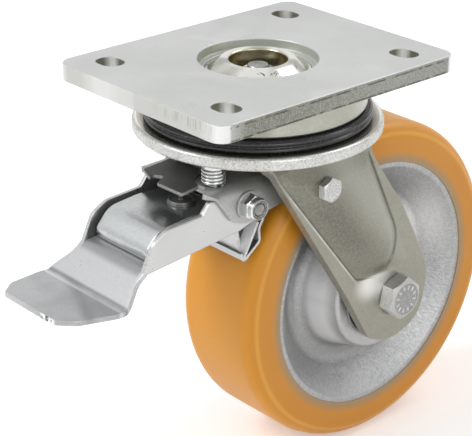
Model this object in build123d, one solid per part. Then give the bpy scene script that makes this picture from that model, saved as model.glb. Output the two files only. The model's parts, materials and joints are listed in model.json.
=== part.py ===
from build123d import *
import math
import os

# Swivel castor: a slotted top plate, a double ball swivel head, a fork with pressed legs,
# a cast wheel with a cast-on tread, and a foot brake hung between the fork legs.
# Millimetres. Origin: centre of the top plate's upper face, on the swivel axis.
# +Z is up, +X runs along the wheel axle towards the bolt heads, -Y is the pedal side.

# ---- top plate ----
plate_width = 110.0
plate_length = 140.0
plate_thickness = 8.0
plate_corner_radius = 7.0
plate_edge_break = 0.8
slot_spacing_x = 77.5
slot_spacing_y = 105.0
slot_width = 11.0
slot_length = 14.0
recess_radius = 27.0
recess_depth = 4.6
seat_radius = 24.0

# ---- swivel head ----
race_radius = 49.0
race_height = 12.0
race_chamfer = 1.2
race_nose_radius = 45.8
race_nose_height = 3.4
head_gap = 2.6
crown_radius = 56.5
crown_thickness = 6.0
crown_edge_radius = 1.8
main_ball_radius = 4.0
main_ball_pitch_radius = 38.0
main_ball_count = 27
small_ball_radius = 2.5
small_ball_pitch_radius = 19.6
small_ball_count = 22
ball_clearance = 0.3
seal_radius = 52.0
seal_rib_depth = 1.6

# ---- kingpin ----
kingpin_rim_radius = 16.8
kingpin_base_radius = 22.4
kingpin_crown_drop = 0.3
kingpin_bore_radius = 13.1
kingpin_bore_depth = 9.0
kingpin_collar_radius = 26.0
kingpin_shank_radius = 15.0
cup_radius = 23.6
cup_gap = 4.2
cup_thickness = 4.2
stud_radius = 5.0
stud_drop = 3.2
kingpin_nut_flats = 17.0
kingpin_nut_height = 3.6
stud_head_flats = 16.0
stud_head_height = 4.6

# ---- wheel ----
wheel_clearance = 8.0
wheel_offset = 53.0
wheel_radius = 80.0
wheel_width = 50.0
tread_shoulder = 8.0
tread_thickness = 19.0
hub_rim_width = 49.0
hub_lip = 2.6
hub_dish_inset = 10.5
hub_dish_depth = 7.0
hub_web_inset = 15.5
hub_web_thickness = 17.0
hub_boss_radius = 30.5
hub_boss_draft = 3.0
hub_root_fillet = 7.0
hub_dish_fillet = 5.0
hub_boss_width = 61.0
hub_bore_radius = 19.0
bearing_outer_radius = 23.5
bearing_outer_wall = 3.5
bearing_inner_wall = 3.2
bearing_width = 14.0
bearing_ball_radius = 3.8
bearing_ball_count = 8
cover_thickness = 1.2
axle_tube_radius = 10.0
axle_spacer_wall = 3.0

# ---- fork ----
fork_gap = 65.0
fork_sheet = 6.0
fork_bend_radius = 4.0
fork_toe_ahead = 2.0
fork_rear = 34.0
fork_bearing_hole_radius = 27.0
toe_reach = 30.4
toe_rise = 1.7
lobe_radius = 22.8
panel_press = 2.6
panel_wall = 3.0
panel_top_drop = 11.0

# ---- axle and cross bolt ----
axle_bolt_radius = 6.0
axle_head_flats = 18.5
axle_head_height = 8.0
axle_head_turn = 20.0
axle_nut_height = 10.0
cross_bolt_gap = 4.6286
cross_bolt_rise = 3.6
cross_spacer_radius = 4.6
small_bolt_radius = 3.0
small_head_flats = 10.4
small_head_height = 4.2
lock_nut_hex_height = 4.2
lock_nut_height = 7.0
lock_nut_collar_radius = 5.0
lock_ring_radius = 4.3
lock_ring_thickness = 1.8
bolt_tail = 2.0
bolt_tip_chamfer = 0.8
head_face_share = 0.87
hole_clearance = 0.25
thread_fit = 0.02

# ---- brake saddle and pivot ----
pivot_ahead = 1.5
pivot_drop = 22.6
pivot_sleeve_radius = 4.0
pivot_clearance = 0.05
washer_radius = 6.6
washer_thickness = 1.2
saddle_width = 50.4
saddle_sheet = 2.5
saddle_drop = 13.2
saddle_bend_radius = 2.0
saddle_tip_reach = 22.0
saddle_notch_reach = 16.0
saddle_notch_half_width = 15.5
saddle_rear_reach = 15.5
saddle_lobe_radius = 8.2
saddle_tail_radius = 6.0

# ---- pedal ----
side_gap = 0.35
pedal_sheet = 2.5
pedal_lobe_radius = 5.8
pedal_mouth_reach = 55.0
pedal_mouth_drop = 16.8
pedal_floor_rise = 0.106
pedal_floor_start = 15.5
pedal_foot_reach = 14.9
pedal_foot_drop = 12.2
pedal_foot_rise = 2.6
pedal_tip_reach = 44.7
pedal_tip_half_width = 17.5
pedal_foot_half_width = 27.5
pedal_bend_radius = 4.5

# ---- release lever, push pin and lock plate ----
lever_sheet = 2.4
lever_half_width = 17.6
lever_drop = 0.8
lever_nose_reach = 50.7
lever_nose_radius = 9.0
lever_nose_drop = 14.4
lever_lobe_radius = 6.2
lever_rear_reach = 7.5
button_radius = 6.4
button_height = 1.8
button_stem_radius = 1.3
button_x = 2.2
button_reach = 18.4
button_gap = 0.35
lock_rise = 1.8
lock_sheet = 1.6
lock_hinge_reach = 5.5
lock_hinge_rise = 2.8
lock_pin_radius = 1.2
lock_knuckle_wall = 1.5
lock_knuckle_left = -13.0
lock_knuckle_right = 3.5
lock_lug_thickness = 2.0
lock_left = 17.2
lock_right = 17.0
lock_front_reach = 25.3
lock_hook_reach = 23.7
lock_hook_x = 6.5
lock_notch_reach = 18.4
lock_notch_x = 3.0
lock_shoulder_reach = 11.0
lock_shoulder_x = 8.0

# ---- brake shoe ----
shoe_sheet = 1.4
shoe_half_width = 21.0
shoe_nose_gap = 1.6
shoe_nose_angle = 148.6
shoe_lobe_radius = 6.4
shoe_plate_thickness = 2.6
shoe_plate_half_width = 16.8
shoe_hanger_thickness = 2.4
shoe_front_reach = 10.0
shoe_front_drop = 7.5
shoe_front_height = 4.7
shoe_lip_start = 6.5
shoe_lip_height = 11.0
shoe_lip_lean = 2.4
shoe_strut_reach = 9.8
shoe_strut_drop = 6.3
shoe_strut_top = 9.8
shoe_limb_reach = 8.2
shoe_limb_drop = 4.2

# ---- adjuster ----
adjuster_x = 15.2
adjuster_reach = 10.9
adjuster_radius = 3.0
adjuster_boss_radius = 5.6
adjuster_boss_height = 5.0
adjuster_head_radius = 4.0
adjuster_head_height = 1.6
spring_wire = 1.5
spring_mean_radius = 4.7
spring_turns = 4.0
spring_seat_gap = 0.1

# ---- places worked out from the sizes ----
plate_bottom = -plate_thickness
race_bottom = plate_bottom - race_height
nose_bottom = race_bottom - race_nose_height
crown_top = nose_bottom - head_gap
crown_bottom = crown_top - crown_thickness
cup_top = crown_bottom - cup_gap
cup_bottom = cup_top - cup_thickness
main_ball_z = (nose_bottom + crown_top) / 2
small_ball_z = (crown_bottom + cup_top) / 2
wheel_y = wheel_offset
wheel_z = crown_bottom - wheel_clearance - wheel_radius
hub_rim_radius = wheel_radius - tread_thickness
hub_dish_radius = hub_rim_radius - hub_dish_inset
hub_web_radius = hub_rim_radius - hub_web_inset
pivot_y = wheel_y - wheel_radius - pivot_ahead
pivot_z = crown_bottom - pivot_drop
cross_bolt_z = pivot_z + cross_bolt_rise
cross_bolt_y = wheel_y - math.sqrt((wheel_radius + cross_bolt_gap) ** 2 - (cross_bolt_z - wheel_z) ** 2)
fork_front = pivot_y - fork_toe_ahead
fork_inner = fork_gap / 2
fork_outer = fork_inner + fork_sheet
panel_outer = fork_outer + panel_press
panel_inner = fork_inner + panel_press
bridge_bottom = crown_bottom - fork_sheet
axle_tube_bore = axle_bolt_radius + hole_clearance
bearing_inner_radius = axle_tube_radius + bearing_inner_wall
bearing_ball_pitch = (bearing_outer_radius - bearing_outer_wall + bearing_inner_radius) / 2
bearing_outside = hub_boss_width / 2 - cover_thickness
bearing_inside = bearing_outside - bearing_width
saddle_top = crown_bottom - saddle_drop
saddle_tip_y = pivot_y - saddle_tip_reach
saddle_notch_y = pivot_y - saddle_notch_reach
saddle_rear_y = pivot_y + saddle_rear_reach
saddle_outer = saddle_width / 2
saddle_inner = saddle_outer - saddle_sheet
saddle_under = saddle_top - saddle_sheet
pedal_outer = saddle_inner - side_gap
pedal_inner = pedal_outer - pedal_sheet
pedal_floor_rear_y = pivot_y - pedal_floor_start
pedal_mouth_y = pivot_y - pedal_mouth_reach
pedal_mouth_z = pivot_z - pedal_mouth_drop
pedal_foot_y = pedal_mouth_y - pedal_foot_reach
pedal_foot_z = pedal_mouth_z - pedal_foot_drop
pedal_tip_y = pedal_mouth_y - pedal_tip_reach
lever_top_z = pivot_z - lever_drop
lever_rear_y = pivot_y - lever_rear_reach
lever_nose_y = pivot_y - lever_nose_reach
lever_nose_z = pivot_z - lever_nose_drop
button_y = pivot_y - button_reach
lock_top = saddle_top + lock_rise
lock_hinge_y = pivot_y - lock_hinge_reach
lock_hinge_z = saddle_top + lock_hinge_rise
adjuster_y = pivot_y - adjuster_reach
lever_ear_inner = lever_half_width - lever_sheet
hanger_outer = lever_ear_inner - side_gap
hanger_inner = hanger_outer - shoe_hanger_thickness


# ---- helpers ----

def disc(radius, bottom, top, x=0, y=0):
    """Upright cylinder between two heights."""
    place = Pos(x, y, bottom)
    return place * Cylinder(radius, top - bottom, align=(Align.CENTER, Align.CENTER, Align.MIN))


def rod(radius, x0, x1, y, z):
    """Cylinder along X between two places."""
    return extrude(Plane.YZ.offset(x0) * Pos(y, z) * Circle(radius), x1 - x0)


def tube(outer, inner, x0, x1, y, z):
    return rod(outer, x0, x1, y, z) - rod(inner, x0 - 1, x1 + 1, y, z)


def hex_along_x(flats, x0, x1, y, z, turn=0):
    face = Plane.YZ.offset(x0) * Pos(y, z) * RegularPolygon(flats / 2, 6, major_radius=False, rotation=turn)
    return extrude(face, x1 - x0)


def hex_upright(flats, bottom, top):
    return extrude(Plane.XY.offset(bottom) * RegularPolygon(flats / 2, 6, major_radius=False), top - bottom)


def hex_head(flats, x0, x1, y, z, turn=0):
    """Hexagon from its seat to its face, the corners turned off by a 30 degree cone."""
    face_radius = head_face_share * flats / 2
    seat_radius_of_cone = face_radius + (x1 - x0) * math.sqrt(3)
    cone = Plane.YZ.offset(x0) * Pos(y, z) * Cone(
        seat_radius_of_cone, face_radius, x1 - x0, align=(Align.CENTER, Align.CENTER, Align.MIN))
    return hex_along_x(flats, x0, x1, y, z, turn) & cone


def rounded(points):
    """Flat face from (u, v, corner radius) points."""
    corners = [(u, v) for u, v, radius in points]
    radii = [radius for u, v, radius in points]
    return make_face(FilletPolyline(*corners, radius=radii, close=True))


def side_plate(points, x0, x1):
    """Plate between two places along X, cut to an outline of (y, z, corner radius) points."""
    return extrude(Plane.YZ.offset(x0) * rounded(points), x1 - x0)


def plan_block(points, bottom, top):
    """Upright block cut to an outline of (x, y, corner radius) points."""
    return extrude(Plane.XY.offset(bottom) * rounded(points), top - bottom)


def bent_strip(points, thickness, half_width):
    """Sheet across X whose middle follows (y, z, bend radius) points in the YZ plane."""
    corners = [(y, z) for y, z, radius in points]
    radii = [radius for y, z, radius in points[1:-1]]
    middle = FilletPolyline(*corners, radius=radii) if radii else Line(*corners)
    section = trace(middle, thickness)
    return extrude(Plane.YZ.offset(-half_width) * section, 2 * half_width)


def bent_channel(half_width, top, sheet, bend_radius, outline):
    """Sheet bent down at both sides of a flat top, cut to a side outline."""
    box = outline.bounding_box()
    depth = top - box.min.Z
    outside = Rectangle(2 * half_width, 2 * depth + 2 * sheet)
    outside = fillet(outside.vertices(), bend_radius + sheet)
    inside = Rectangle(2 * (half_width - sheet), 2 * depth)
    inside = fillet(inside.vertices(), bend_radius)
    section = Pos(0, top - depth - sheet) * (outside - inside)
    return extrude(Plane.XZ.offset(-box.max.Y) * section, box.size.Y) & outline


def turned(points):
    """Solid of revolution about the swivel axis from (radius, height) points."""
    return revolve(Plane.XZ * make_face(Polyline(*points, close=True)), Axis.Z)


def turned_on_axle(points):
    """Solid of revolution about the wheel axle from (x, radius, corner radius) points."""
    return Pos(0, wheel_y, wheel_z) * revolve(Plane.XZ * rounded(points), Axis.X)


def swapped(part):
    """The part as it is on the other side."""
    return mirror(part, about=Plane.YZ)


def both_sides(part):
    return part + swapped(part)


def ball(radius):
    """Ball with 18 flats and its corners on the true sphere."""
    flat = 2 * radius / math.hypot(1, math.sqrt(2) - 1, math.sqrt(2) - 1)
    block = Box(flat, flat, flat)
    return block & (Rot(45, 0, 0) * block) & (Rot(0, 45, 0) * block) & (Rot(0, 0, 45) * block)


def ring_of(part, count):
    return Compound([Rot(0, 0, 360 * k / count) * part for k in range(count)])


def ball_track(radius, pitch_radius, height):
    """Ring swept by a running ball and its clearance round the swivel axis."""
    return revolve(Plane.XZ * Pos(pitch_radius, height) * Circle(radius + ball_clearance), Axis.Z)


# ---- swivel head ----

def make_top_plate():
    plate = extrude(RectangleRounded(plate_width, plate_length, plate_corner_radius), -plate_thickness)
    plate = chamfer(plate.edges().group_by(Axis.Z)[-1], plate_edge_break)
    slot = extrude(SlotOverall(slot_length, slot_width), -plate_thickness)
    for x in (-slot_spacing_x / 2, slot_spacing_x / 2):
        for y in (-slot_spacing_y / 2, slot_spacing_y / 2):
            plate -= Pos(x, y) * slot
    plate -= disc(recess_radius, -recess_depth, 1)
    plate -= disc(seat_radius, plate_bottom - 1, 1)
    return plate


def make_upper_race():
    bore = kingpin_collar_radius
    race = turned([
        (bore, plate_bottom),
        (race_radius, plate_bottom),
        (race_radius, race_bottom + race_chamfer),
        (race_radius - race_chamfer, race_bottom),
        (race_nose_radius, race_bottom),
        (race_nose_radius, nose_bottom),
        (bore, nose_bottom),
    ])
    return race - ball_track(main_ball_radius, main_ball_pitch_radius, main_ball_z)


def make_kingpin():
    bolt_bore = stud_radius + hole_clearance
    collar = seat_radius - hole_clearance
    return turned([
        (kingpin_bore_radius, -kingpin_crown_drop),
        (kingpin_rim_radius, -kingpin_crown_drop),
        (kingpin_base_radius, -recess_depth),
        (collar, -recess_depth),
        (collar, plate_bottom),
        (kingpin_collar_radius, plate_bottom),
        (kingpin_collar_radius, nose_bottom),
        (kingpin_shank_radius, nose_bottom),
        (kingpin_shank_radius, cup_top),
        (bolt_bore, cup_top),
        (bolt_bore, -kingpin_bore_depth),
        (kingpin_bore_radius, -kingpin_bore_depth),
    ])


def make_kingpin_cup():
    cup = disc(cup_radius, cup_bottom, cup_top) - disc(stud_radius + hole_clearance, cup_bottom, cup_top)
    return cup - ball_track(small_ball_radius, small_ball_pitch_radius, small_ball_z)


def make_kingpin_bolt():
    shank = disc(stud_radius, cup_bottom, -stud_drop)
    shank = chamfer(shank.edges().sort_by(Axis.Z)[-1], bolt_tip_chamfer)
    return shank + hex_upright(stud_head_flats, cup_bottom - stud_head_height, cup_bottom)


def make_kingpin_nut():
    bottom = -kingpin_bore_depth
    nut = hex_upright(kingpin_nut_flats, bottom, bottom + kingpin_nut_height)
    return nut - disc(stud_radius + thread_fit, bottom, bottom + kingpin_nut_height)


def make_crown():
    bore = kingpin_shank_radius + side_gap
    crown = disc(crown_radius, crown_bottom, crown_top)
    crown = fillet(crown.edges().filter_by(GeomType.CIRCLE), crown_edge_radius)
    crown -= disc(bore, crown_bottom, crown_top)
    crown -= ball_track(main_ball_radius, main_ball_pitch_radius, main_ball_z)
    return crown - ball_track(small_ball_radius, small_ball_pitch_radius, small_ball_z)


def make_seal():
    """Rubber ring with two ribs, seated on the crown under the upper race."""
    top = race_bottom - side_gap
    inner = race_nose_radius + side_gap
    valley = seal_radius - seal_rib_depth
    step = (top - crown_top) / 4
    return turned([
        (inner, top),
        (valley, top),
        (seal_radius, top - step),
        (valley, top - 2 * step),
        (seal_radius, top - 3 * step),
        (valley, crown_top),
        (inner, crown_top),
    ])


# ---- fork ----

def make_fork():
    """Bridge and two legs in one bent sheet, each leg with a panel pressed outwards."""
    fork = bent_channel(fork_outer, crown_bottom, fork_sheet, fork_bend_radius, side_plate([
        (fork_front, crown_bottom, 0),
        (fork_front, bridge_bottom + 1, 2),
        (wheel_y - toe_reach, wheel_z + toe_rise, 16),
        (wheel_y - lobe_radius * 0.86, wheel_z - lobe_radius * 0.66, 10),
        (wheel_y - 3, wheel_z - lobe_radius - 0.8, 22),
        (wheel_y + lobe_radius * 0.82, wheel_z - lobe_radius * 0.86, 18),
        (wheel_y + lobe_radius + 0.8, wheel_z + 8, 30),
        (fork_rear + 26, wheel_z + 46, 60),
        (fork_rear, crown_bottom - 4, 10),
        (fork_rear, crown_bottom, 0),
    ], -fork_outer, fork_outer))
    fork += both_sides(pressed_panel(0, fork_outer, panel_outer))
    fork -= both_sides(pressed_panel(panel_wall, fork_inner - 1, panel_inner))
    fork -= disc(fork_bearing_hole_radius, bridge_bottom, crown_bottom)
    fork -= rod(axle_tube_bore, -panel_outer, panel_outer, wheel_y, wheel_z)
    fork -= rod(small_bolt_radius + hole_clearance, -panel_outer, panel_outer, cross_bolt_y, cross_bolt_z)
    return fork


def pressed_panel(inset, x0, x1):
    """Panel outline of a leg, drawn in by an inset for the hollow behind it."""
    top = crown_bottom - panel_top_drop
    outline = rounded([
        (-20.6, top, 3),
        (wheel_y - 26.6, wheel_z + 15.6, 7),
        (wheel_y - 9.5, wheel_z + 11.6, 14),
        (wheel_y + 1.2, wheel_z + 32, 20),
        (38.4, top, 3),
    ])
    if inset:
        outline = offset(outline, -inset)
    return extrude(Plane.YZ.offset(x0) * outline, x1 - x0)


# ---- wheel ----

def mirrored_profile(half):
    """Closed profile from its x > 0 half, given as (x, radius, corner radius) points."""
    return half + [(-x, radius, corner) for x, radius, corner in reversed(half)]


def make_hub():
    rim = hub_rim_width / 2
    boss = hub_boss_width / 2
    web = hub_web_thickness / 2
    web_root = hub_boss_radius + hub_boss_draft
    web_run = hub_web_radius - web_root
    return turned_on_axle(mirrored_profile([
        (bearing_inside, hub_bore_radius, 0),
        (bearing_inside, bearing_outer_radius, 0),
        (boss, bearing_outer_radius, 0),
        (boss, hub_boss_radius, 1.5),
        (web, web_root, min(hub_root_fillet, 0.6 * web_run)),
        (web, hub_web_radius, min(hub_dish_fillet, 0.42 * web_run)),
        (rim - hub_dish_depth, hub_dish_radius, 6),
        (rim, hub_rim_radius - hub_lip, 1),
        (rim, hub_rim_radius, 0),
    ]))


def make_tread():
    side = wheel_width / 2
    return turned_on_axle(mirrored_profile([
        (side, hub_rim_radius, 0),
        (side, wheel_radius, tread_shoulder),
    ]))


def bearing_tracks(x):
    path = Plane.XZ * Pos(x, bearing_ball_pitch) * Circle(bearing_ball_radius + ball_clearance)
    return Pos(0, wheel_y, wheel_z) * revolve(path, Axis.X)


def make_bearing(side):
    """Outer ring, inner ring and balls of one ball bearing; side is 1 or -1."""
    x0, x1 = sorted((side * bearing_inside, side * bearing_outside))
    tracks = bearing_tracks((x0 + x1) / 2)
    outer = tube(bearing_outer_radius, bearing_outer_radius - bearing_outer_wall, x0, x1, wheel_y, wheel_z)
    inner = tube(bearing_inner_radius, axle_tube_radius, x0, x1, wheel_y, wheel_z)
    one = Pos(0, 0, bearing_ball_pitch) * ball(bearing_ball_radius)
    turns = [Rot(360 * k / bearing_ball_count, 0, 0) * one for k in range(bearing_ball_count)]
    balls = Pos((x0 + x1) / 2, wheel_y, wheel_z) * Compound(turns)
    return outer - tracks, inner - tracks, balls


def make_cover(side):
    """Dust cover pressed into the hub in front of a bearing."""
    x0, x1 = sorted((side * bearing_outside, side * hub_boss_width / 2))
    hole = axle_tube_radius + axle_spacer_wall + side_gap
    return tube(bearing_outer_radius, hole, x0, x1, wheel_y, wheel_z)


def make_axle_tube():
    return tube(axle_tube_radius, axle_tube_bore, -fork_inner, fork_inner, wheel_y, wheel_z)


def make_bearing_spacer(x0, x1):
    return tube(axle_tube_radius + axle_spacer_wall, axle_tube_radius, x0, x1, wheel_y, wheel_z)


# ---- bolts across the fork ----

def cross_shank(radius, left, right, y, z):
    """Shank along X with both ends chamfered."""
    shank = rod(radius, left, right, y, z)
    return chamfer(shank.edges().filter_by(GeomType.CIRCLE), bolt_tip_chamfer)


def make_axle_bolt():
    """Bolt with its head on the right leg and its tip past the nut on the left leg."""
    head = hex_head(axle_head_flats, fork_outer, fork_outer + axle_head_height, wheel_y, wheel_z, axle_head_turn)
    tip = fork_outer + axle_nut_height + bolt_tail
    return head + cross_shank(axle_bolt_radius, -tip, fork_outer + axle_head_height / 2, wheel_y, wheel_z)


def make_axle_nut():
    nut = hex_head(axle_head_flats, fork_outer, fork_outer + axle_nut_height, wheel_y, wheel_z)
    nut = mirror(nut, about=Plane.YZ)
    return nut - rod(axle_bolt_radius + thread_fit, -fork_outer - axle_nut_height, -fork_outer, wheel_y, wheel_z)


def make_small_bolt(seat, y, z):
    """Bolt with its head on the left seat; its tip shows in the lock nut on the right."""
    head = mirror(hex_head(small_head_flats, seat, seat + small_head_height, y, z), about=Plane.YZ)
    tip = seat + lock_nut_height - 0.4
    return head + cross_shank(small_bolt_radius, -seat - small_head_height / 2, tip, y, z)


def make_lock_nut(seat, y, z):
    """Nut with a round collar that holds a nylon ring at its outer end."""
    hex_end = seat + lock_nut_hex_height
    end = seat + lock_nut_height
    nut = hex_head(small_head_flats, seat, hex_end, y, z)
    collar = rod(lock_nut_collar_radius, hex_end - 1, end, y, z)
    rim = collar.edges().filter_by(GeomType.CIRCLE).sort_by(Axis.X)[-1]
    nut += chamfer(rim, 0.5)
    nut -= rod(lock_ring_radius, end - lock_ring_thickness, end, y, z)
    return nut - rod(small_bolt_radius + thread_fit, seat, end, y, z)


def make_lock_ring(seat, y, z):
    end = seat + lock_nut_height
    return tube(lock_ring_radius, small_bolt_radius + thread_fit, end - lock_ring_thickness, end - 0.4, y, z)


def make_cross_spacers():
    bore = small_bolt_radius + hole_clearance
    return both_sides(tube(cross_spacer_radius, bore, saddle_outer, panel_inner, cross_bolt_y, cross_bolt_z))


# ---- brake saddle ----

def make_saddle():
    """Bent sheet over the pedal: flat top, two ears, and two lugs for the lock plate's hinge."""
    saddle = bent_channel(saddle_outer, saddle_top, saddle_sheet, saddle_bend_radius, side_plate([
        (saddle_tip_y, saddle_top, 0),
        (saddle_tip_y + 0.6, saddle_top - 1.4, 1),
        (saddle_tip_y + 5, saddle_top - 3.2, 4),
        (pivot_y - saddle_lobe_radius + 0.2, pivot_z - saddle_lobe_radius + 1.6, 5),
        (pivot_y - 1, pivot_z - saddle_lobe_radius - 0.8, 7),
        (cross_bolt_y + 1, cross_bolt_z - saddle_tail_radius - 0.4, 5),
        (cross_bolt_y + saddle_tail_radius, cross_bolt_z, 3),
        (cross_bolt_y + saddle_tail_radius, saddle_top, 0),
    ], -saddle_outer, saddle_outer))
    notch = plan_block([
        (-saddle_notch_half_width, saddle_notch_y, 2),
        (saddle_notch_half_width, saddle_notch_y, 2),
        (saddle_inner - 2.5, saddle_tip_y - 1, 0),
        (2.5 - saddle_inner, saddle_tip_y - 1, 0),
    ], saddle_under - 1, saddle_top + 1)
    rear = plan_block([
        (-saddle_inner + saddle_bend_radius, saddle_rear_y, 3),
        (saddle_inner - saddle_bend_radius, saddle_rear_y, 3),
        (saddle_inner - saddle_bend_radius, cross_bolt_y + 20, 0),
        (-saddle_inner + saddle_bend_radius, cross_bolt_y + 20, 0),
    ], saddle_under - 1, saddle_top + 1)
    saddle = saddle - notch - rear
    saddle += lock_lug(lock_knuckle_left - side_gap - lock_lug_thickness)
    saddle += lock_lug(lock_knuckle_right + side_gap)
    bolt_hole = small_bolt_radius + hole_clearance
    saddle -= rod(bolt_hole, -saddle_outer, saddle_outer, pivot_y, pivot_z)
    saddle -= rod(bolt_hole, -saddle_outer, saddle_outer, cross_bolt_y, cross_bolt_z)
    saddle -= disc(adjuster_radius + hole_clearance, saddle_under - 1, saddle_top + 1, adjuster_x, adjuster_y)
    return saddle


def lock_lug(x0):
    """Lug bent up from the saddle, bored for the lock plate's pin."""
    half = lock_pin_radius + lock_knuckle_wall
    lug = side_plate([
        (lock_hinge_y - half, saddle_under + 0.5, 0),
        (lock_hinge_y - half, lock_hinge_z + half, half * 0.9),
        (lock_hinge_y + half, lock_hinge_z + half, half * 0.9),
        (lock_hinge_y + half, saddle_under + 0.5, 0),
    ], x0, x0 + lock_lug_thickness)
    return lug - rod(lock_pin_radius + thread_fit, x0, x0 + lock_lug_thickness, lock_hinge_y, lock_hinge_z)


def make_lock_pin():
    left = lock_knuckle_left - side_gap - lock_lug_thickness
    right = lock_knuckle_right + side_gap + lock_lug_thickness
    return rod(lock_pin_radius, left, right, lock_hinge_y, lock_hinge_z)


def make_washers():
    """Plain washers under the head and the nut of the pivot bolt."""
    bore = small_bolt_radius + hole_clearance
    return both_sides(tube(washer_radius, bore, saddle_outer, saddle_outer + washer_thickness, pivot_y, pivot_z))


def make_pivot_sleeve():
    bore = small_bolt_radius + hole_clearance
    return tube(pivot_sleeve_radius, bore, -saddle_inner, saddle_inner, pivot_y, pivot_z)


# ---- adjuster ----

def make_adjuster_bolt():
    head = disc(adjuster_head_radius, saddle_under - adjuster_head_height, saddle_under, adjuster_x, adjuster_y)
    return head + disc(adjuster_radius, saddle_under, crown_bottom, adjuster_x, adjuster_y)


def make_adjuster_boss():
    bottom = crown_bottom - adjuster_boss_height
    boss = disc(adjuster_boss_radius, bottom, crown_bottom, adjuster_x, adjuster_y)
    return boss - disc(adjuster_radius + thread_fit, bottom, crown_bottom, adjuster_x, adjuster_y)


def make_adjuster_spring():
    """Coil spring of six-sided wire between the saddle and the threaded boss."""
    bottom = saddle_top + spring_wire / 2 + spring_seat_gap
    top = crown_bottom - adjuster_boss_height - spring_wire / 2 - spring_seat_gap
    path = Helix(pitch=(top - bottom) / spring_turns, height=top - bottom, radius=spring_mean_radius)
    wire = Plane(origin=path @ 0, z_dir=path % 0) * RegularPolygon(spring_wire / 2, 6)
    return Pos(adjuster_x, adjuster_y, bottom) * sweep(wire, path=path)


# ---- pedal ----

def pedal_floor_z(y):
    """Height of the middle of the floor sheet inside the channel."""
    return pedal_mouth_z + (y - pedal_mouth_y) * pedal_floor_rise


def make_pedal():
    """Channel with two walls and a floor that runs out in an S bend to the foot plate."""
    half = pedal_sheet / 2
    floor = bent_strip([
        (pedal_floor_rear_y, pedal_floor_z(pedal_floor_rear_y), 0),
        (pedal_mouth_y, pedal_mouth_z, 8),
        (pedal_mouth_y - 7.5, pedal_mouth_z - 2.2, pedal_bend_radius),
        (pedal_foot_y, pedal_foot_z, pedal_bend_radius),
        (pedal_tip_y, pedal_foot_z + pedal_foot_rise, 0),
    ], pedal_sheet, pedal_foot_half_width)
    foot = pedal_foot_half_width
    right_edge = [
        (pedal_outer, pedal_floor_rear_y, 0),
        (pedal_outer, pedal_mouth_y, 5),
        (foot, pedal_mouth_y - 7, 7),
        (foot, pedal_tip_y + 14, 14),
        ((foot + pedal_tip_half_width) / 2 + 1.5, pedal_tip_y + 4.6, 3),
        (pedal_tip_half_width, pedal_tip_y, 3),
    ]
    left_edge = [(-x, y, radius) for x, y, radius in reversed(right_edge)]
    floor &= plan_block(right_edge + left_edge, pedal_foot_z - 20, pivot_z)
    wall = side_plate([
        (pedal_mouth_y - 1.5, pedal_mouth_z - half, 0),
        (pedal_mouth_y + 4.9, pedal_mouth_z + 12.2, 7),
        (pedal_mouth_y + 12.5, pedal_mouth_z + 16.2, 8),
        (pivot_y - 23.3, pivot_z + 0.4, 1.5),
        (pivot_y - 19.1, pivot_z + 5.4, 2.5),
        (pivot_y - 6, pivot_z + 5.4, 6),
        (pivot_y, pivot_z + pedal_lobe_radius, 5),
        (pivot_y + pedal_lobe_radius, pivot_z + 3, 5),
        (pivot_y + 9.5, pedal_floor_z(pivot_y + 9.5) + 1, 4),
        (pivot_y - 2, pedal_floor_z(pivot_y - 2) - half, 10),
        (pedal_mouth_y, pedal_mouth_z - half, 0),
    ], pedal_inner, pedal_outer)
    pedal = floor + both_sides(wall)
    pedal -= rod(pivot_sleeve_radius + pivot_clearance, -pedal_outer, pedal_outer, pivot_y, pivot_z)
    return pedal


# ---- release lever, push pin and lock plate ----

def make_release_lever():
    """Curved nose plate with two ears that turn on the pivot sleeve."""
    half = lever_sheet / 2
    top = lever_top_z - half
    plate = bent_strip([
        (lever_rear_y, top, 0),
        (button_y - 10, top, 30),
        (lever_nose_y + half + 6.5, top - 1.3, lever_nose_radius),
        (lever_nose_y + half, lever_nose_z + 4, 3),
        (lever_nose_y + half + 0.4, lever_nose_z, 0),
    ], lever_sheet, lever_half_width)
    ear = side_plate([
        (pivot_y - 31.5, top, 0),
        (pivot_y - 27.5, top - 5, 3),
        (pivot_y - 2, pivot_z - lever_lobe_radius, 5),
        (pivot_y + lever_lobe_radius, pivot_z - 4, 5),
        (pivot_y + lever_lobe_radius, pivot_z + lever_lobe_radius, 5),
        (pivot_y - 4.6, pivot_z + lever_lobe_radius, 4),
        (lever_rear_y - 2, top, 0),
    ], lever_ear_inner, lever_half_width)
    lever = plate + both_sides(ear)
    return lever - rod(pivot_sleeve_radius + pivot_clearance, -lever_half_width, lever_half_width, pivot_y, pivot_z)


def make_push_pin():
    stem_top = lock_top - lock_sheet - button_gap
    head = disc(button_radius, lever_top_z, lever_top_z + button_height, button_x, button_y)
    head = chamfer(head.edges().filter_by(GeomType.CIRCLE).sort_by(Axis.Z)[-1], button_height / 3)
    return head + disc(button_stem_radius, lever_top_z, stem_top, button_x, button_y)


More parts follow.
